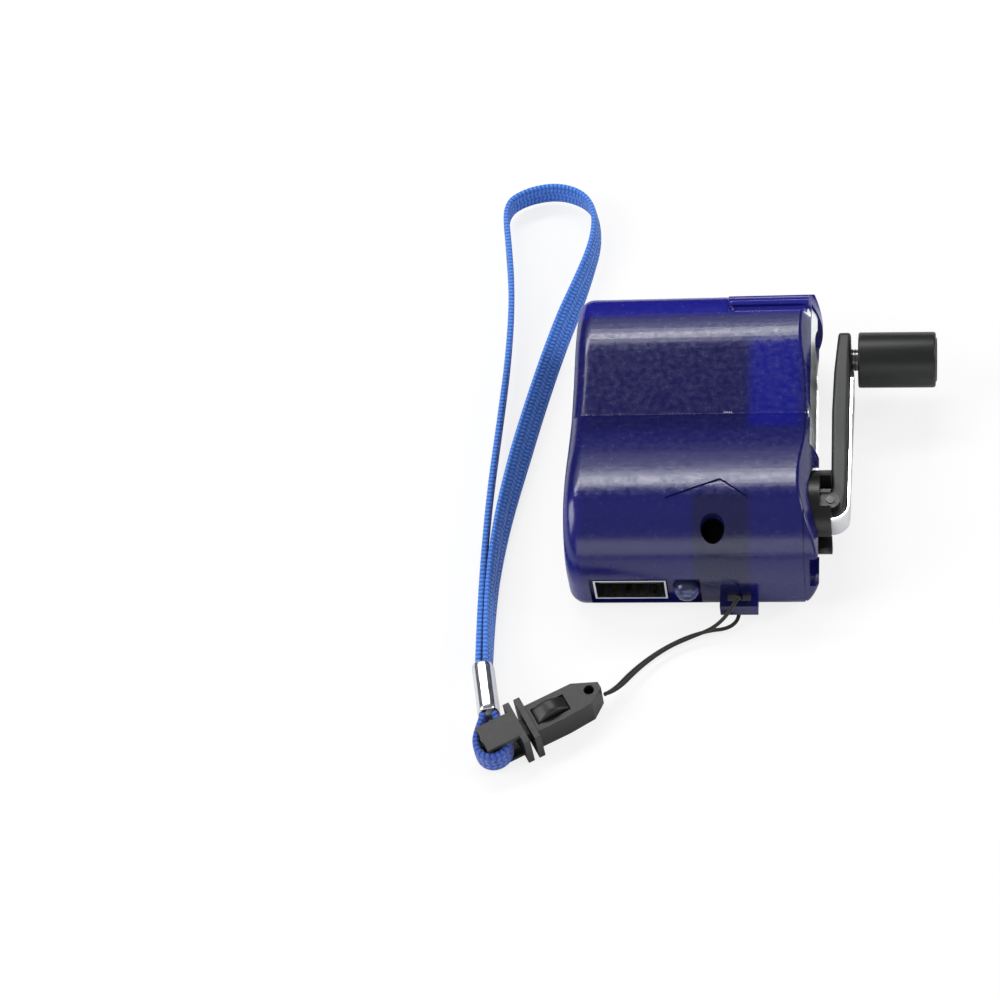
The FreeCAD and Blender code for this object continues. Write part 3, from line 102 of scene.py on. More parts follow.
sweep_mesh = bpy.data.meshes.new("sweep")
sweep_mesh.from_pydata([(x * FLOOR_HALF, y * FLOOR_HALF, 0) for x, y in ((-1, -1), (1, -1), (1, 1), (-1, 1))],
                       [], [(0, 1, 2, 3)])
sweep = bpy.data.objects.new("sweep", sweep_mesh)
sweep.location.z = -FLOOR_GAP
bpy.context.scene.collection.objects.link(sweep)
sweep_paint = bpy.data.materials.new("white_sweep")
sweep_paint.use_nodes = True
tree = sweep_paint.node_tree
tree.nodes.clear()
matt = put("ShaderNodeBsdfDiffuse", tree, Color=(FLOOR_WHITE, FLOOR_WHITE, FLOOR_WHITE, 1))
glow = put("ShaderNodeEmission", tree, Color=(1, 1, 1, 1), Strength=1.0)
seen = put("ShaderNodeLightPath", tree)
share = put("ShaderNodeMath", tree, operation="MULTIPLY")
share.inputs[1].default_value = FLOOR_GLOW
either = put("ShaderNodeMath", tree, operation="MAXIMUM")
blend = put("ShaderNodeMixShader", tree)
out = put("ShaderNodeOutputMaterial", tree)
wire(tree, (seen.outputs["Is Camera Ray"], either.inputs[0]), (seen.outputs["Is Transmission Ray"], either.inputs[1]),
     (either.outputs[0], share.inputs[0]), (share.outputs[0], blend.inputs[0]), (matt.outputs[0], blend.inputs[1]),
     (glow.outputs[0], blend.inputs[2]), (blend.outputs[0], out.inputs["Surface"]))
sweep_mesh.materials.append(sweep_paint)

world = bpy.data.worlds.new("studio")
world.use_nodes = True
bpy.context.scene.world = world
tree = world.node_tree
tree.nodes.clear()
# The sky is white overhead and greyer near the horizon, so bright metal shows darker bands. Toward
# the far side, which the housing's front mirrors to the camera, it is dark
where = put("ShaderNodeTexCoord", tree)
parts = put("ShaderNodeSeparateXYZ", tree)
ramp = put("ShaderNodeValToRGB", tree)
ramp.color_ramp.elements[0].position = 0.0
ramp.color_ramp.elements[0].color = SKY_LOW
ramp.color_ramp.elements[1].position = 0.5
ramp.color_ramp.elements[1].color = SKY_HIGH
dimming = put("ShaderNodeMapRange", tree, interpolation_type="SMOOTHSTEP", From_Min=-0.15, From_Max=0.4,
              To_Min=0.36, To_Max=0.1)
sky = put("ShaderNodeBackground", tree)
out = put("ShaderNodeOutputWorld", tree)
wire(tree, (where.outputs["Generated"], parts.inputs[0]), (parts.outputs["Z"], ramp.inputs[0]),
     (ramp.outputs["Color"], sky.inputs["Color"]), (parts.outputs["Y"], dimming.inputs["Value"]),
     (dimming.outputs["Result"], sky.inputs["Strength"]), (sky.outputs[0], out.inputs["Surface"]))


def softbox(name, place, size, power):
    """A rectangular area lamp at a place, turned to face the part."""
    lamp = bpy.data.lights.new(name, "AREA")
    lamp.shape = "RECTANGLE"
    lamp.size, lamp.size_y = size
    lamp.energy = power
    made = bpy.data.objects.new(name, lamp)
    facing = Vector(place).to_track_quat("Z", "Y").to_matrix().to_4x4()
    made.matrix_world = Matrix.Translation(place) @ facing
    bpy.context.scene.collection.objects.link(made)


softbox("far_softbox", (-0.14, 0.40, 0.66), (0.7, 0.10), 3.3)
softbox("far_glow", (-0.15, 0.52, 0.54), (0.8, 0.2), 0.5)
softbox("left_softbox", (-0.75, -0.15, 0.50), (0.5, 0.5), 5.0)
softbox("right_softbox", (0.75, 0.10, 0.45), (0.4, 0.4), 3.0)
softbox("near_softbox", (0.15, -0.85, 0.30), (1.4, 0.4), 3.0)

# Housing: three shells injection moulded in a smoky see-through blue. The front and back shells
# meet along the middle, and the side cap closes the crank side. Their skin has a fine grain.
INDIGO = ink(18, 19, 88)
SHELL_EDGE, SHEET_EDGE, HUB_EDGE, BUCKLE_EDGE = 0.00016, 0.0001, 0.00022, 0.00025


def new_paint(name, **sockets):
    """A material with one Principled shader, whose plain sockets are set by name."""
    material = bpy.data.materials.new(name)
    material.use_nodes = True
    shader = material.node_tree.nodes["Principled BSDF"]
    for key, value in sockets.items():
        shader.inputs[key.replace("_", " ")].default_value = value
    return material, material.node_tree, shader


def effect(name, inputs, outputs):
    """An empty shader node group with named sockets, each given as name: default."""
    group = bpy.data.node_groups.new(name, "ShaderNodeTree")
    for label, default in inputs.items():
        socket = group.interface.new_socket(name=label, in_out="INPUT", socket_type="NodeSocketFloat")
        socket.default_value = default
    for label in outputs:
        group.interface.new_socket(name=label, in_out="OUTPUT", socket_type="NodeSocketFloat")
    return group, group.nodes.new("NodeGroupInput"), group.nodes.new("NodeGroupOutput")


def place_effect(tree, group, **values):
    """Uses an effect in a material, with its inputs set by name."""
    node = tree.nodes.new("ShaderNodeGroup")
    node.node_tree = group
    for key, value in values.items():
        node.inputs[key].default_value = value
    return node


# Moulded grain: fine round pits of one size, broken up by slow unevenness
mould_grain, given, gives = effect("mould_grain", {"Scale": 2500.0, "Unevenness": 0.4}, ["Height", "Patches"])
spot = put("ShaderNodeTexCoord", mould_grain)
pits = put("ShaderNodeTexNoise", mould_grain, Detail=2.0, Roughness=0.55)
slow = put("ShaderNodeTexNoise", mould_grain, Scale=950.0, Detail=3.0, Roughness=0.6)
mixed = put("ShaderNodeMix", mould_grain, data_type="FLOAT")
wire(mould_grain, (spot.outputs["Object"], pits.inputs["Vector"]), (spot.outputs["Object"], slow.inputs["Vector"]),
     (given.outputs["Scale"], pits.inputs["Scale"]), (given.outputs["Unevenness"], mixed.inputs[0]),
     (pits.outputs[0], mixed.inputs[2]), (slow.outputs[0], mixed.inputs[3]),
     (mixed.outputs[0], gives.inputs["Height"]), (slow.outputs[0], gives.inputs["Patches"]))

# Painted see-through shade and light: a soft-edged dark or bright patch for what stands behind the see-through wall,
# seen from the front
painted_see_through, given, gives = effect(
    "painted_see_through", {"Left": 0.0, "Right": 0.0, "Near": 0.0, "Far": 0.0, "Blur": 0.002}, ["Mask"])
spot = put("ShaderNodeTexCoord", painted_see_through)
axes = put("ShaderNodeSeparateXYZ", painted_see_through)
wire(painted_see_through, (spot.outputs["Object"], axes.inputs[0]))


def fade(tree, value, edge, blur, rising):
    """0 to 1 smoothly across an edge: value minus edge, over the blur's width."""
    away = put("ShaderNodeMath", tree, operation="SUBTRACT")
    span = put("ShaderNodeMath", tree, operation="DIVIDE")
    eased = put("ShaderNodeMapRange", tree, interpolation_type="SMOOTHSTEP", From_Min=-0.5, From_Max=0.5)
    larger, smaller = (value, edge) if rising else (edge, value)
    wire(tree, (larger, away.inputs[0]), (smaller, away.inputs[1]), (away.outputs[0], span.inputs[0]),
         (blur, span.inputs[1]), (span.outputs[0], eased.inputs["Value"]))
    return eased.outputs["Result"]


sides = [
    fade(painted_see_through, axes.outputs[axis], given.outputs[edge], given.outputs["Blur"], rising)
    for axis, edge, rising in (("X", "Left", True), ("X", "Right", False), ("Y", "Near", True), ("Y", "Far", False))
]
product = sides[0]
for side in sides[1:]:
    times = put("ShaderNodeMath", painted_see_through, operation="MULTIPLY")
    wire(painted_see_through, (product, times.inputs[0]), (side, times.inputs[1]))
    product = times.outputs[0]
wire(painted_see_through, (product, gives.inputs["Mask"]))


def layered(tree, base, layers):
    """Lays colours over a base colour, each through its mask."""
    for colour, mask, strength in layers:
        amount = put("ShaderNodeMath", tree, operation="MULTIPLY")
        amount.inputs[1].default_value = strength
        tree.links.new(mask, amount.inputs[0])
        over = put("ShaderNodeMix", tree, data_type="RGBA")
        tree.links.new(amount.outputs[0], over.inputs[0])
        if isinstance(base, tuple):
            over.inputs[6].default_value = base
        else:
            tree.links.new(base, over.inputs[6])
        over.inputs[7].default_value = colour
        base = over.outputs[2]
    return base


def bumped(tree, shader, height, strength, distance):
    """Lets a height, over a distance in metres, tilt the shading."""
    raised = put("ShaderNodeBump", tree, Strength=strength, Distance=distance)
    wire(tree, (height, raised.inputs["Height"]), (raised.outputs[0], shader.inputs["Normal"]))


# Painted shade and light of the see-through wall, by what stands behind it: dark where inner parts shade it, brighter
# where light comes through. Colour, strength, then left, right, near and far edge and the edges' blur, in metres
PAINTED_SEE_THROUGH = [
    (ink(13, 13, 68), 0.85, (-0.020, 0.0105, -0.003, 0.0165, 0.004)),  # painted shade of the generator
    (ink(12, 16, 122), 0.9, (0.0105, 0.0195, -0.002, 0.0165, 0.0025)),  # painted light through the empty end beside it
    (ink(20, 20, 52), 0.8, (0.001, 0.011, -0.032, -0.018, 0.002)),  # painted shade of the gear frame
    (ink(22, 24, 136), 0.85, (-0.05, 0.05, 0.0225, 0.05, 0.002)),  # painted light through the far rim, with nothing behind it
    (ink(20, 22, 112), 0.8, (-0.05, -0.0195, -0.05, -0.017, 0.003)),  # painted light through the left rim
]


def blue_plastic(name):
    """Smoky see-through plastic: painted see-through shade and light and a slight cloudiness over indigo, under a fine
    grain.
    """
    material, tree, shader = new_paint(name, IOR=1.5, Specular_IOR_Level=0.5, Transmission_Weight=0.06)
    grain = place_effect(tree, mould_grain, Scale=2400.0, Unevenness=0.5)
    layers = []
    # Painted see-through shade and light, zone by zone
    for colour, strength, edges in PAINTED_SEE_THROUGH:
        zone = place_effect(tree, painted_see_through, **dict(zip(("Left", "Right", "Near", "Far", "Blur"), edges)))
        layers.append((colour, zone.outputs[0], strength))
    cloud = put("ShaderNodeMapRange", tree, From_Min=0.35, From_Max=0.75)
    rough = put("ShaderNodeMapRange", tree, From_Min=0.3, From_Max=0.72, To_Min=0.15, To_Max=0.29)
    wire(tree, (grain.outputs["Patches"], cloud.inputs["Value"]), (grain.outputs["Patches"], rough.inputs["Value"]),
         (rough.outputs[0], shader.inputs["Roughness"]))
    layers.append((ink(34, 34, 110), cloud.outputs[0], 0.12))
    wire(tree, (layered(tree, INDIGO, layers), shader.inputs["Base Color"]))
    bumped(tree, shader, grain.outputs["Height"], 0.3, 0.00006)
    return material


def dress(paint, *names):
    """Gives CAD nodes a finish."""
    for name in names:
        nodes[name].data.materials.clear()
        nodes[name].data.materials.append(paint)


def faces_of(mesh):
    """A mesh as a tree that rays can be cast on."""
    return BVHTree.FromPolygons([vert.co for vert in mesh.vertices], [face.vertices for face in mesh.polygons])


def height_over(tree, x, y):
    """Height of a surface over one place, in metres, or not a number beside it."""
    place = tree.ray_cast(Vector((x, y, 0.05)), Vector((0, 0, -1)))[0]
    return place.z if place else math.nan


def cut_across(shape, places, axis):
    """Cuts a shape's faces in two at each place along an axis, so that they can follow a curve."""
    for place in places:
        bmesh.ops.bisect_plane(shape, geom=[*shape.verts, *shape.edges, *shape.faces], dist=1e-7,
                               plane_co=Vector(axis) * place, plane_no=axis)


# Where the front is redrawn, in metres: the hollow between the crests runs from near to far, and
# the bar fills the far corner from its left end on, behind a groove
solid_front = {name: faces_of(nodes[name].data) for name in ("front_shell", "side_cap")}
HOLLOW_NEAR, HOLLOW_FAR, HOLLOW_STEP, VALLEY = -0.02, 0.018, 0.00005, 0.0015
BAR_LEFT = min(v.co.x for v in nodes["side_cap"].data.vertices if v.co.y > 0.026 and v.co.z > 0.0165) - 0.0001
BAR_MIDDLE, BAR_RADIUS, BAR_FOOT, BAR_NEAR = 0.0266, 0.0021, 0.0189, 0.0252
SIDE_TOP, SIDE_FADE, CREST_X = 0.0125, 0.004, -0.012


def redrawn_front(shape):
    """Moves the outer front to the photographed shape: a tighter hollow between the two swells,
    and a groove before the low rounded bar in the far corner. The tilt of the hollow's slope is
    given in degrees along the housing, and its height is the sum of tan(tilt) steps. The bar is
    round: z = foot + sqrt(radius^2 - (y - middle)^2)."""
    cut_across(shape, [0.00145, VALLEY, *np.arange(-0.0205, 0.0229, 0.00075), *np.arange(0.0231, 0.0288, 0.0002)],
               (0, 1, 0))
    cut_across(shape, np.linspace(BAR_LEFT - 0.0003, BAR_LEFT + 0.0015, 8), (1, 0, 0))
    along = np.arange(HOLLOW_FAR, HOLLOW_NEAR - HOLLOW_STEP / 5, -HOLLOW_STEP)
    cad = np.array([height_over(solid_front["front_shell"], CREST_X, y) for y in along])
    tilt = np.interp(-along, -np.array([18, 16.5, 14.5, 1.5, 1.45, -1, -8, -14.5, -16.5, -18.5, -20]) / 1000,
                     [-3.2, -6.5, -11, -11.5, 17, 17, 12, 3, -1, -8, -20])
    drawn = cad[0] + np.concatenate([[0], np.cumsum(np.tan(np.radians(tilt[1:])) * HOLLOW_STEP)])
    drawn += (cad[-1] - drawn[-1]) * np.clip((0.0005 - along) / 0.0205, 0, 1)
    corner = np.arange(HOLLOW_FAR, 0.0287, 0.0002)
    crest = np.array([height_over(solid_front["front_shell"], CREST_X, y) for y in corner])
    low = np.array([height_over(solid_front["side_cap"], BAR_LEFT + 0.005, y) if y > 0.0254 else math.nan
                    for y in corner])
    low = np.where(np.isnan(low), crest, low)
    groove = np.interp(corner, np.array([23.1, 23.3, 23.45, 23.7, 24.0, 24.4, 24.8]) / 1000,
                       np.array([22, 21.45, 20.9, 20.35, 20.1, 20.02, 20.1]) / 1000)
    ridge = BAR_FOOT + np.sqrt(np.maximum(BAR_RADIUS ** 2 - (corner - BAR_MIDDLE) ** 2, 0))
    bar = np.where(corner > 0.0248, np.maximum(ridge, BAR_FOOT), np.minimum(groove, crest))
    for vert in shape.verts:
        x, y, z = vert.co
        if z < SIDE_TOP or y < HOLLOW_NEAR:
            continue
        if y <= HOLLOW_FAR:
            top = np.interp(-y, -along, cad)
            step = np.interp(-y, -along, drawn) - top
        else:
            right = np.clip((x - BAR_LEFT) / 0.0012, 0, 1)
            right = right * right * (3 - 2 * right)
            top = np.interp(y, corner, low if x > BAR_LEFT and y > BAR_NEAR else crest)
            high = np.interp(y, corner, crest)
            step = high + (min(np.interp(y, corner, bar), high) - high) * right - top
        vert.co.z += step * np.clip(1 - (top - z) / SIDE_FADE, 0, 1)


EASED_FROM, SHARP_FROM, EASING_STEPS = math.radians(28), math.radians(34), 3


def ease(body, slot, paint, width, *names, redraw=None):
    """Stands a softened copy in for each CAD node: its triangles are merged into whole faces and
    its edges are rounded by the width, and the large faces stay flat in their shading."""
    for name in names:
        shape = bmesh.new()
        shape.from_mesh(nodes[name].data)
        bmesh.ops.transform(shape, matrix=nodes[name].matrix_world, verts=shape.verts)
        bmesh.ops.remove_doubles(shape, verts=shape.verts, dist=2e-6)
        bmesh.ops.dissolve_limit(shape, angle_limit=math.radians(0.4), verts=shape.verts, edges=shape.edges)
        if redraw:
            redraw(shape)
        corners = [edge for edge in shape.edges if len(edge.link_faces) == 2 and edge.calc_face_angle() > EASED_FROM]
        bmesh.ops.bevel(shape, geom=corners, offset=width, offset_type="OFFSET", segments=EASING_STEPS, profile=0.5,
                        affect="EDGES", clamp_overlap=True)
        mesh = bpy.data.meshes.new("eased_" + name)
        shape.to_mesh(mesh)
        shape.free()
        mesh.shade_smooth()
        mesh.set_sharp_from_angle(angle=SHARP_FROM)
        mesh.materials.append(paint)
        made = bpy.data.objects.new("eased_" + name, mesh)
        bpy.context.scene.collection.objects.link(made)
        even = made.modifiers.new("even_shading", "WEIGHTED_NORMAL")
        even.keep_sharp = True
        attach(made, body)
        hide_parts(name)


shell_blue = blue_plastic("smoky_blue_shell")
ease("housing", "blue_shell", shell_blue, SHELL_EDGE, "front_shell", "side_cap", redraw=redrawn_front)
ease("housing", "blue_shell", shell_blue, SHELL_EDGE, "back_shell")

# Bright plate in the side cap: satin plated sheet, with the channel where the arm folds in. Its
# front edge follows the swell of the front, over the cap's rim. Bright metal has handling marks.
handling_marks, given, gives = effect("handling_marks", {"Scale": 300.0, "Low": 0.08, "High": 0.2}, ["Roughness"])
spot = put("ShaderNodeTexCoord", handling_marks)
smears = put("ShaderNodeTexNoise", handling_marks, Detail=4.0, Roughness=0.65)
spread = put("ShaderNodeMapRange", handling_marks, From_Min=0.35, From_Max=0.7)
wire(handling_marks, (spot.outputs["Object"], smears.inputs["Vector"]),
     (given.outputs["Scale"], smears.inputs["Scale"]), (smears.outputs[0], spread.inputs["Value"]),
     (given.outputs["Low"], spread.inputs["To Min"]), (given.outputs["High"], spread.inputs["To Max"]),
     (spread.outputs[0], gives.inputs["Roughness"]))


def bright_metal(name, colour, low, high, scale=300.0):
    """Metal whose roughness wanders between low and high with its handling marks."""
    material, tree, shader = new_paint(name, Base_Color=colour, Metallic=1.0)
    marks = place_effect(tree, handling_marks, Scale=scale, Low=low, High=high)
    wire(tree, (marks.outputs[0], shader.inputs["Roughness"]))
    return material


chrome = bright_metal("polished_chrome", ink(232, 234, 236), 0.05, 0.16)
plated_sheet = bright_metal("plated_sheet", ink(236, 240, 240), 0.3, 0.42)


PLATE_RIM, RIM_X, RIM_GAP, PLATE_PROUD, SIDE_LEAN = 0.0183, 0.018, 0.0003, 0.00006, 0.55


def plate_up_to_front(shape):
    """Carries the plate's front edge up the swell of the side as far as the front, over the cap's
    rim: each point of the edge rises to the front, and moves in by the side's lean times the rise."""
    front = faces_of(bpy.data.objects["eased_front_shell"].data)
    cut_across(shape, np.arange(-0.009, 0.025, 0.00075), (0, 1, 0))
    for vert in shape.verts:
        if vert.co.z > PLATE_RIM:
            top = height_over(front, RIM_X, vert.co.y)
            rise = 0 if math.isnan(top) else max(top - RIM_GAP - vert.co.z, 0)
            vert.co += Vector((PLATE_PROUD - SIDE_LEAN * rise, 0, rise))


ease("housing", "chrome", plated_sheet, SHEET_EDGE, "side_plate", redraw=plate_up_to_front)


# Black plastic of the crank: filled nylon with a fine satin grain and slightly cloudy colour. The
# hub is moulded smoother and darker than the arm.
def black_plastic(name, colour, low, high, scale=2200.0):
    """Grained plastic whose roughness goes from low to high with the grain's height."""
    material, tree, shader = new_paint(name, Base_Color=colour, Specular_IOR_Level=0.4)
    grain = place_effect(tree, mould_grain, Scale=scale, Unevenness=0.3)
    rough = put("ShaderNodeMapRange", tree, To_Min=low, To_Max=high)
    cloud = put("ShaderNodeMapRange", tree, To_Min=0.0, To_Max=0.6)
    wire(tree, (grain.outputs["Height"], rough.inputs["Value"]), (rough.outputs[0], shader.inputs["Roughness"]),
         (grain.outputs["Patches"], cloud.inputs["Value"]))
    paler = tuple(value * 1.7 for value in colour[:3]) + (1,)
    wire(tree, (layered(tree, colour, [(paler, cloud.outputs[0], 0.5)]), shader.inputs["Base Color"]))
    bumped(tree, shader, grain.outputs["Height"], 0.3, 0.00005)
    return material


crank_black = black_plastic("crank_black", ink(40, 41, 41), 0.3, 0.5)
hub_black = black_plastic("hub_black", ink(20, 20, 21), 0.22, 0.42)
ease("hub", "black_plastic", hub_black, HUB_EDGE, "crank_hub")
dress(bright_metal("pin_steel", ink(58, 58, 60), 0.25, 0.4), "hinge_pin")
dress(bright_metal("shaft_steel", ink(190, 190, 188), 0.15, 0.3), "hub_shaft", "shaft_screw")

# Crank arm: a slim moulded bar with a round root on the hinge pin, a slight bow, and a wide square
# tip that carries the knob. It leans outwards by about one degree.
PIN_PLACE = np.array((0.0251, -0.0152, 0.011))
ARM_LEAN = math.radians(0.9)
ARM_ALONG = np.array((math.sin(ARM_LEAN), math.cos(ARM_LEAN), 0.0))
ARM_OUT = np.array((math.cos(ARM_LEAN), -math.sin(ARM_LEAN), 0.0))
KNOB_REACH = 0.0347
ARM_TIP = KNOB_REACH + 0.004
ROOT_RADIUS, ROOT_END, TIP_CORNER = 0.0029, 0.0033, 0.0012


def on_arm(along, out, side):
    """Points of the leaning arm, from its distances along, out from and beside the pin."""
    along, out, side = np.broadcast_arrays(along, out, side)
    return (PIN_PLACE + along[..., None] * ARM_ALONG + out[..., None] * ARM_OUT
            + side[..., None] * np.array((0.0, 0.0, 1.0)))


def surface(name, points, paint, uv=None, smooth=40):
    """A closed mesh over a grid of points, ring after ring, with a flat end on the first and the
    last ring. uv is a pair of arrays of the same grid, and smooth the sharpest smooth edge."""
    rings, around = points.shape[:2]
    here = np.arange(rings * around).reshape(rings, around)
    across = np.roll(here, -1, axis=1)
    quads = np.stack([here[:-1], across[:-1], across[1:], here[1:]], axis=-1).reshape(-1, 4).tolist()
    ends = [here[0, ::-1].tolist(), here[-1].tolist()]
    mesh = bpy.data.meshes.new(name)
    mesh.from_pydata(points.reshape(-1, 3), [], quads + ends)
    if uv is not None:
        layer = mesh.uv_layers.new(name="along")
        corner = np.zeros(len(mesh.loops), np.int32)
        mesh.loops.foreach_get("vertex_index", corner)
        flat_uv = np.stack([uv[0].reshape(-1), uv[1].reshape(-1)], axis=-1)
        layer.data.foreach_set("uv", flat_uv[corner].astype(np.float32).reshape(-1))
    shape = bmesh.new()
    shape.from_mesh(mesh)
    bmesh.ops.recalc_face_normals(shape, faces=shape.faces)
    shape.to_mesh(mesh)
    shape.free()
    mesh.shade_smooth()
    mesh.set_sharp_from_angle(angle=math.radians(smooth))
    mesh.materials.append(paint)
    made = bpy.data.objects.new(name, mesh)
    bpy.context.scene.collection.objects.link(made)
    return made


def rounded_ring(half_a, half_b, power, count=48):
    """A rounded rectangle as a superellipse: |a / half_a|^power + |b / half_b|^power = 1."""
    turn = np.linspace(0, 2 * math.pi, count, endpoint=False) + math.pi / count
    cosine, sine = np.cos(turn), np.sin(turn)
    reach = (np.abs(cosine) ** power + np.abs(sine) ** power) ** (-1 / power)
    return half_a[:, None] * cosine * reach, half_b[:, None] * sine * reach


def arm_stations():
    """Along the arm: inner and outer face and half width, with the root and the tip rounded off by
    sqrt(radius^2 - distance^2)."""
    flank = ARM_TIP - TIP_CORNER
    root = -ROOT_RADIUS * np.cos(np.linspace(0.03, math.pi / 2, 10))
    tip = flank + TIP_CORNER * np.sin(np.linspace(0.1, 1.54, 14))
    along = np.concatenate([root, np.linspace(0.0006, flank, 48), tip])
    round_root = np.sqrt(np.maximum(ROOT_RADIUS ** 2 - along ** 2, 0))
    bow = np.interp(along, [ROOT_END, 0.010, 0.021, 0.030, ARM_TIP], [0, -0.00015, -0.0003, -0.0001, 0.00055])
    heel = np.interp(along, [0, 0.0005, ROOT_END], [-ROOT_RADIUS, -ROOT_RADIUS, 0])
    inner = np.where(along < 0, -round_root, np.where(along > ROOT_END, bow, heel))
    outer = np.where(along < 0, round_root, ROOT_RADIUS)
    width = np.interp(along, [0, 0.014, KNOB_REACH], [0.0025, 0.0025, 0.004])
    over = np.maximum(along - flank, 0)
    width = width - TIP_CORNER + np.sqrt(np.maximum(TIP_CORNER ** 2 - over ** 2, 0))
    return along, inner, outer, width


along, inner, outer, width = arm_stations()
ring_out, ring_side = rounded_ring((outer - inner) / 2, width, 7)
arm_points = on_arm(along[:, None], (outer + inner)[:, None] / 2 + ring_out, ring_side)
arm = surface("moulded_arm", arm_points, crank_black)
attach(arm, "arm")
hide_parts("crank_arm")

# Cover strip: bright plated metal that wraps the arm's round root and runs up its outer face, a
# little thicker toward its upper end, where a small moulded stop holds it.
COVER_TOP = KNOB_REACH - 0.0066
COVER_STEPS = 23


def cover_stations():
    """The strip's middle line: round the root through 100 degrees, then straight up the arm."""
    turn = np.radians(np.linspace(100, 0, 16))
    around = np.stack([-np.sin(turn), np.cos(turn)], axis=-1)
    straight = np.linspace(0, COVER_TOP, COVER_STEPS + 1)[1:]
    along = np.concatenate([around[:, 0] * ROOT_RADIUS, straight])
    out = np.concatenate([around[:, 1] * ROOT_RADIUS, np.full(COVER_STEPS, ROOT_RADIUS)])
    normal = np.concatenate([around, np.tile([0.0, 1.0], (COVER_STEPS, 1))])
    thick = 0.0005 + np.maximum(along, 0) / COVER_TOP * 0.0003
    width = np.interp(along, [0, 0.014, COVER_TOP], [0.0025, 0.0025, 0.00325])
    return along, out, normal, thick, width


along, out_place, normal, thick, width = cover_stations()
ring_out, ring_side = rounded_ring(thick / 2, width, 8, 40)
middle_out = thick[:, None] / 2 + ring_out
cover = surface("bright_cover", on_arm(along[:, None] + middle_out * normal[:, :1],
                                       out_place[:, None] + middle_out * normal[:, 1:], ring_side), chrome)
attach(cover, "arm")
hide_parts("arm_cover")

stop_along = np.array([COVER_TOP + 0.0001, COVER_TOP + 0.0002, COVER_TOP + 0.0024, COVER_TOP + 0.0026])
stop_shrink = np.array([0.00015, 0.0, 0.0, 0.00015])
ring_out, ring_side = rounded_ring(0.00055 - stop_shrink, 0.0022 - stop_shrink, 8, 40)
stop = surface("moulded_stop", on_arm(stop_along[:, None], 0.00305 + ring_out, ring_side), crank_black)
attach(stop, "arm")


# Knob: a plain black sleeve with softly rounded ends that turns on a steel axle, closed by a cap.
# Between the arm and the knob, the axle passes through a short ribbed neck.
def lathe(name, profile, paint):
    """A turned piece on the knob's axis, from (out, radius) pairs in millimetres."""
    out, radius = np.array(profile).T / 1000
    turn = np.linspace(0, 2 * math.pi, 72, endpoint=False)
    return surface(name, on_arm(KNOB_REACH + radius[:, None] * np.cos(turn), out[:, None],
                                radius[:, None] * np.sin(turn)), paint)


def rounded_corner(out, radius, fillet, start, end, steps=6):
    """Profile points round a corner's centre, from one angle to another in degrees."""
    turn = np.radians(np.linspace(start, end, steps))
    return [(out + fillet * math.cos(t), radius + fillet * math.sin(t)) for t in turn]


knob_black = black_plastic("knob_black", ink(17, 18, 19), 0.34, 0.5, 1800.0)
knob = lathe("turning_knob", [(4.3, 1.56), *rounded_corner(4.3 + 0.35, 5.2 - 0.35, 0.35, 180, 90),
                              *rounded_corner(18.6 - 0.5, 5.2 - 0.5, 0.5, 90, 0), (18.6, 4.25), (17.95, 4.2),
                              (17.9, 1.56)], knob_black)
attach(knob, "knob")
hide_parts("crank_knob")
knob_end = lathe("knob_end_cap", [(17.95, 0.3), (17.95, 4.12), (18.5, 4.12),
                                  *rounded_corner(18.55, 3.85, 0.27, 80, 10), (18.84, 2.5), (18.85, 0.3)], crank_black)
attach(knob_end, "knob")
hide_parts("knob_cap")
neck = lathe("knob_neck", [(2.6, 1.2), (2.85, 2.06), (3.2, 2.06), *rounded_corner(3.2, 1.96, 0.1, 80, 0, 3),
                           (3.3, 1.6), (3.6, 1.6), (3.6, 1.96), *rounded_corner(3.7, 1.96, 0.1, 180, 0, 5), (3.8, 1.6),
                           (4.1, 1.6), (4.1, 1.9), (4.22, 1.9), (4.22, 1.2)], crank_black)
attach(neck, "arm")
dress(bright_metal("axle_steel", ink(120, 120, 120), 0.2, 0.4), "knob_axle")

# Inside the housing: the gear train, its frame, the generator and the circuit board. They show
# through the knob pocket and only faintly through the blue walls, where their shade is painted on the shell.
plain_steel = bright_metal("plain_steel", ink(168, 168, 166), 0.25, 0.45, 180.0)
dress(plain_steel, "gear_axles", "inner_gear_plate", "outer_gear_plate", "frame_posts", "generator_can",
      "rotor_shaft", "housing_screws")
brass = bright_metal("turned_brass", ink(205, 172, 92), 0.18, 0.35, 260.0)
dress(brass, "hub_bush", "rotor_pinion", "usb_contacts", "generator_terminals")
wound_copper = bright_metal("wound_copper", ink(184, 104, 62), 0.25, 0.4, 900.0)
dress(wound_copper, "rotor_core", "commutator")
gear_nylon = black_plastic("gear_nylon", ink(222, 220, 206), 0.35, 0.5)
dress(gear_nylon, "drive_gear", "first_gear", "second_gear")
dress(black_plastic("dark_grey_parts", ink(58, 60, 64), 0.4, 0.6),
      "generator_magnets", "generator_end_cap", "usb_tongue", "smoothing_capacitor", "rectifier_diodes",
      "regulator_chip")
dress(black_plastic("green_board", ink(28, 92, 56), 0.25, 0.4, 900.0), "circuit_board")
dress(black_plastic("red_wire_skin", ink(150, 30, 26), 0.3, 0.45), "lead_wires")
dress(bright_metal("plated_shell", ink(214, 218, 222), 0.12, 0.25, 420.0), "usb_shell")

# Indicator lamp: a five millimetre lamp with a clear domed lens in the end recess. Its blue is a
# painted tint for the blue wall around it, seen in and through the lens.
dress(new_paint("clear_lens", Base_Color=ink(112, 122, 186), Roughness=0.1, IOR=1.5, Transmission_Weight=0.85)[0],
      "indicator_led")

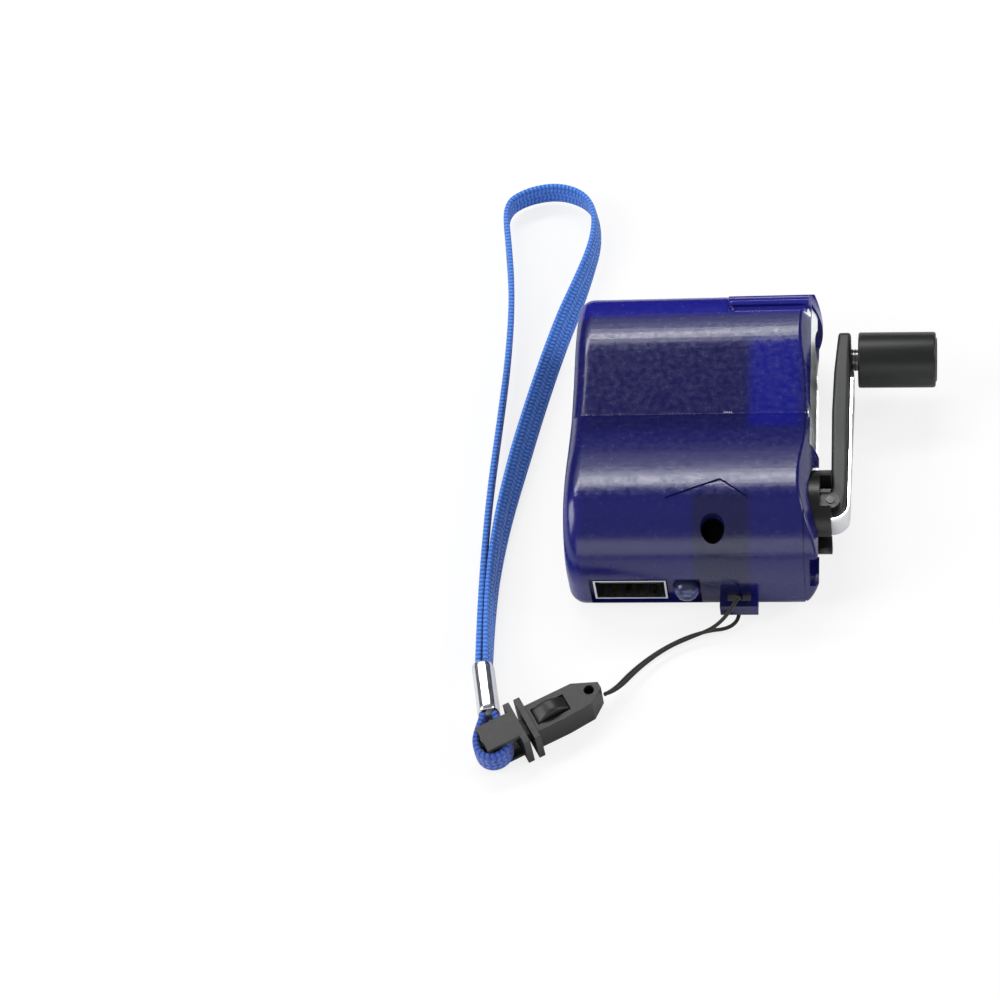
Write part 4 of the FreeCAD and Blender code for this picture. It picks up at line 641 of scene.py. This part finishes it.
# Wrist strap: a flat woven nylon band, five millimetres wide. It stands on its edge round the far
# bend, leans over on the side next to the housing, and both ends run into the bright ferrule.
STRAP_WIDTH, STRAP_THICK, STRAP_MIDDLE = 0.005, 0.0012, 0.0034
LOOP_WIDTH, LOOP_THICK = 0.0049, 0.0013
STITCHES_ALONG, STITCHES_ACROSS, STITCH_DEPTH = 1150.0, 900.0, 0.00025
STRAP_ROUTE = [
    (-37.9, -43.58), (-38.5, -34.0), (-39.0, -20.0), (-39.1, -5.0), (-38.6, 11.0), (-38.2, 27.0), (-38.7, 43.0),
    (-40.6, 57.0), (-42.1, 66.3), (-37.4, 70.0), (-30.4, 71.0), (-24.0, 67.2), (-22.4, 58.6), (-24.4, 48.0),
    (-28.2, 34.0), (-31.4, 19.0), (-34.4, 2.0), (-36.6, -14.0), (-37.2, -30.0), (-36.3, -43.25),
]


def smooth_line(name, route):
    """Points along a smooth open curve of third order, drawn by the route's corners."""
    curve = bpy.data.curves.new(name, "CURVE")
    curve.dimensions = "3D"
    spline = curve.splines.new("NURBS")
    spline.points.add(len(route) - 1)
    spline.points.foreach_set("co", np.array([(*point, 1.0) for point in route], np.float32).reshape(-1))
    spline.order_u = 3
    spline.use_endpoint_u = True
    spline.resolution_u = 12
    holder = bpy.data.objects.new(name, curve)
    bpy.context.scene.collection.objects.link(holder)
    bpy.context.view_layer.update()
    line = bpy.data.meshes.new_from_object(holder)
    points = np.zeros(len(line.vertices) * 3)
    line.vertices.foreach_get("co", points)
    bpy.data.objects.remove(holder)
    return points.reshape(-1, 3)


def directions(points):
    """Unit heading at each point of a line, from its neighbours."""
    heading = np.gradient(points, axis=0)
    return heading / np.linalg.norm(heading, axis=1)[:, None]


def distances(points):
    """Distance travelled along a line up to each of its points, in metres."""
    return np.concatenate([[0], np.cumsum(np.linalg.norm(np.diff(points, axis=0), axis=1))])


# Woven band: two sets of yarn that cross as rows of short slanted stitches, read from the UV map,
# whose U runs along the band and V across it, both in metres
woven, given, gives = effect("woven", {"Along": 900.0, "Across": 1400.0}, ["Height", "Shade"])
spot = put("ShaderNodeTexCoord", woven)
axes = put("ShaderNodeSeparateXYZ", woven)
wire(woven, (spot.outputs["UV"], axes.inputs[0]))


def woven_maths(operation, *values):
    """One step of the weave's arithmetic, from sockets or plain numbers."""
    node = put("ShaderNodeMath", woven, operation=operation)
    for index, value in enumerate(values):
        if isinstance(value, float):
            node.inputs[index].default_value = value
        else:
            wire(woven, (value, node.inputs[index]))
    return node.outputs[0]


def humps(value):
    """A row of round humps, one for each whole number: |sin(pi value)|."""
    return woven_maths("ABSOLUTE", woven_maths("SINE", woven_maths("MULTIPLY", value, math.pi)))


rows = woven_maths("MULTIPLY", axes.outputs["Y"], given.outputs["Across"])
columns = woven_maths("MULTIPLY", axes.outputs["X"], given.outputs["Along"])
slant = woven_maths("MULTIPLY", woven_maths("PINGPONG", rows, 1.0), 0.5)
yarn = humps(woven_maths("ADD", columns, slant))
# Painted shade: the stitch pattern darkens the gaps between the stitches and lightens their tops; the fuzz is random
# tone
stitch = woven_maths("MULTIPLY", yarn, woven_maths("POWER", humps(rows), 0.5))
fuzz = put("ShaderNodeTexNoise", woven, Scale=2600.0, Detail=3.0)
shade = woven_maths("ADD", woven_maths("MULTIPLY", stitch, 0.75), woven_maths("MULTIPLY", fuzz.outputs[0], 0.35))
wire(woven, (spot.outputs["Object"], fuzz.inputs["Vector"]), (stitch, gives.inputs["Height"]),
     (shade, gives.inputs["Shade"]))


def woven_fabric(name, dark, light, along_rate, across_rate, depth):
    """Dull woven yarn with painted shade between the stitches and lighter stitch tops, with stitches per metre."""
    material, tree, shader = new_paint(name, Roughness=0.72, Sheen_Weight=0.25, Sheen_Roughness=0.4,
                                       Specular_IOR_Level=0.3)
    weave = place_effect(tree, woven, Along=along_rate, Across=across_rate)
    wire(tree, (layered(tree, dark, [(light, weave.outputs["Shade"], 1.0)]), shader.inputs["Base Color"]))
    bumped(tree, shader, weave.outputs["Height"], 0.8, depth)
    return material


strap_blue = woven_fabric("strap_blue", ink(24, 60, 146), ink(84, 146, 240), STITCHES_ALONG, STITCHES_ACROSS,
                          STITCH_DEPTH)


def strap_lean(travel):
    """How far the band leans from upright, in radians, at each share of its length."""
    shares = [0.0, 0.08, 0.40, 0.47, 0.52, 0.60, 0.66, 0.80, 0.92, 1.0]
    leans = [4, 6, 8, 4, 0, 16, 38, 40, 14, 4]
    return np.radians(np.interp(travel, shares, leans))


def band(name, line, width, thick, lean, paint):
    """A flat band along a line: a superellipse of power 4 whose long side stands up and leans to
    the side, tall = cos(lean) up + sin(lean) side."""
    heading = directions(line)
    side = np.cross(heading, (0, 0, 1.0))
    side /= np.linalg.norm(side, axis=1)[:, None]
    tall = np.cos(lean)[:, None] * np.array((0, 0, 1.0)) + np.sin(lean)[:, None] * side
    flat_way = np.cross(tall, heading)
    count = len(line)
    ring_tall, ring_flat = rounded_ring(np.full(count, width / 2), np.full(count, thick / 2), 4.0, 32)
    points = line[:, None] + ring_tall[..., None] * tall[:, None] + ring_flat[..., None] * flat_way[:, None]
    travel = np.broadcast_to(distances(line)[:, None], ring_tall.shape)
    across = ring_tall + width / 2
    return surface(name, points, paint, uv=(travel, across), smooth=60)


strap_line = smooth_line("strap_line", [(x / 1000, y / 1000, STRAP_MIDDLE) for x, y in STRAP_ROUTE])
strap_travel = distances(strap_line)
strap = band("woven_wrist_strap", strap_line, STRAP_WIDTH, STRAP_THICK, strap_lean(strap_travel / strap_travel[-1]),
             strap_blue)
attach(strap, "housing")
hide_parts("wrist_strap")

# Ferrule: a bright metal sleeve pressed flat round both ends of the strap, with its wall's edge
# showing at each open end.
FERRULE_TOP, FERRULE_END = np.array((-0.0371, -0.0436)), np.array((-0.0351, -0.0536))


def ferrule_points():
    """A superellipse of power 2.6 carried down the sleeve and back inside it at the open ends."""
    length = np.linalg.norm(FERRULE_END - FERRULE_TOP)
    aim = (FERRULE_END - FERRULE_TOP) / length
    sideways = np.array((-aim[1], aim[0]))
    place = np.array([0.0012, 0.0002, 0.0, 0.00006, 0.0003, *np.linspace(0.001, length - 0.001, 5), length - 0.0003,
                      length - 0.00006, length, length - 0.0002, length - 0.0012])
    inset = np.array([0.00035, 0.00035, 0.0002, 0.00008, 0, 0, 0, 0, 0, 0, 0, 0.00008, 0.0002, 0.00035, 0.00035])
    ring_side, ring_up = rounded_ring(0.002 - inset, 0.0032 - inset, 2.6, 56)
    flat = FERRULE_TOP + place[:, None] * aim
    points = np.empty((len(place), 56, 3))
    points[..., :2] = flat[:, None] + ring_side[..., None] * sideways
    points[..., 2] = STRAP_MIDDLE + ring_up
    return points


ferrule = surface("pressed_ferrule", ferrule_points(), bright_metal("pressed_tin", ink(214, 216, 220), 0.16, 0.26),
                  smooth=60)
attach(ferrule, "housing")
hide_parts("strap_ferrule")

# Strap loop: the same band in a darker blue, as it lies in shade, sewn into a small eye round the
# buckle's post.
LOOP_ROUTE = [
    (-35.9, -53.97), (-36.5, -56.4), (-37.0, -59.4), (-36.0, -61.9), (-33.9, -62.8), (-31.7, -61.8), (-30.7, -59.4),
    (-32.2, -56.6), (-34.0, -53.62),
]
loop_line = smooth_line("loop_line", [(x / 1000, y / 1000, STRAP_MIDDLE) for x, y in LOOP_ROUTE])
loop_blue = woven_fabric("loop_blue", ink(26, 44, 118), ink(70, 104, 196), STITCHES_ALONG, STITCHES_ACROSS,
                         STITCH_DEPTH)
loop = band("sewn_loop", loop_line, LOOP_WIDTH, LOOP_THICK, np.zeros(len(loop_line)), loop_blue)
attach(loop, "housing")
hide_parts("strap_loop")

# Quick-release buckle in black acetal: a plug with the strap's post, and a socket with a bent nose
# and a raised release tongue, each with a cross flange where they meet.
buckle_black = black_plastic("buckle_black", ink(30, 30, 31), 0.32, 0.5, 1500.0)
ease("housing", "black_plastic", buckle_black, BUCKLE_EDGE, "buckle_plug", "buckle_socket")
POST_X, POST_Y, BUCKLE_TURN = -33.9, -59.2, math.radians(30.0)
TONGUE_FROM, TONGUE_LENGTH, TONGUE_UNDER, TONGUE_TOP, TONGUE_BOW = 8.5, 6.1, 5.5, 6.0, 1.5


def on_buckle(along, across=0.0):
    """A place on the buckle's axis, in millimetres from the strap's post toward the nose."""
    return (POST_X + along * math.cos(BUCKLE_TURN) - across * math.sin(BUCKLE_TURN),
            POST_Y + along * math.sin(BUCKLE_TURN) + across * math.cos(BUCKLE_TURN))


def tongue_stations():
    """The release tongue along the buckle, flat below and bowed above: z = top + bow sin(pi t)."""
    share = np.linspace(0, 1, 25)
    high = TONGUE_TOP + TONGUE_BOW * np.sin(math.pi * share)
    width = 1.6 - 0.25 * share
    along = TONGUE_FROM + TONGUE_LENGTH * share
    return along, (high + TONGUE_UNDER) / 2000, (high - TONGUE_UNDER) / 2000, width / 1000


along, middle_up, half_up, width = tongue_stations()
ring_side, ring_up = rounded_ring(width, half_up, 5, 40)
tongue_x, tongue_y = on_buckle(along[:, None], ring_side * 1000)
tongue = surface("bowed_tongue", np.stack([tongue_x / 1000, tongue_y / 1000, middle_up[:, None] + ring_up], axis=-1),
                 buckle_black)
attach(tongue, "latch")
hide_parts("buckle_latch")

# Cord: a thin black braided cord, doubled. It leaves the buckle's nose, lies on the table, and is
# hitched through the moulded eye of the housing. Its route is in millimetres, with heights.
CORD_DIAMETER = 0.0007
CORD_ROUTE = [
    (*on_buckle(21.9, -0.1), 2.6), (*on_buckle(24.0, 0.4), 1.7), (-10.6, -42.6, 0.9), (-6.2, -38.4, 0.7),
    (-1.4, -35.4, 0.7), (3.0, -33.9, 0.8), (6.2, -33.6, 0.9), (8.0, -32.2, 0.9), (8.5, -30.4, 1.3),
    (8.7, -29.75, 2.6), (8.7, -29.75, 5.4), (8.4, -30.8, 6.6), (7.4, -32.6, 6.2), (5.8, -33.7, 4.2),
    (3.6, -34.6, 2.4), (0.0, -35.8, 1.7), (-4.4, -38.0, 1.6), (-9.0, -42.2, 1.8), (*on_buckle(23.9, -0.6), 2.6),
    (*on_buckle(21.9, -0.6), 3.6),
]
cord_line = smooth_line("cord_line", [(x / 1000, y / 1000, z / 1000) for x, y, z in CORD_ROUTE])


def round_tube(name, line, diameter, paint):
    """A tube along a line: a circle of 16 points carried without twist, its side projected off the
    heading at each step, side = side - heading (side . heading)."""
    heading = directions(line)
    side = np.empty_like(line)
    first = np.cross(heading[0], (0, 0, 1.0))
    side[0] = first / np.linalg.norm(first)
    for step in range(1, len(line)):
        flat = side[step - 1] - heading[step] * (side[step - 1] @ heading[step])
        side[step] = flat / np.linalg.norm(flat)
    other = np.cross(heading, side)
    turn = np.linspace(0, 2 * math.pi, 16, endpoint=False)
    ring = (side[:, None] * np.cos(turn)[:, None] + other[:, None] * np.sin(turn)[:, None]) * diameter / 2
    travel = np.broadcast_to(distances(line)[:, None], ring.shape[:2])
    across = np.broadcast_to(turn * diameter / 2, ring.shape[:2])
    return surface(name, line[:, None] + ring, paint, uv=(travel, across), smooth=80)


cord_black = woven_fabric("cord_black", ink(16, 16, 15), ink(52, 52, 46), 2600.0, 2728.0, 0.00006)
cord = round_tube("braided_cord", cord_line, CORD_DIAMETER, cord_black)
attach(cord, "housing")
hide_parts("cord_loop")
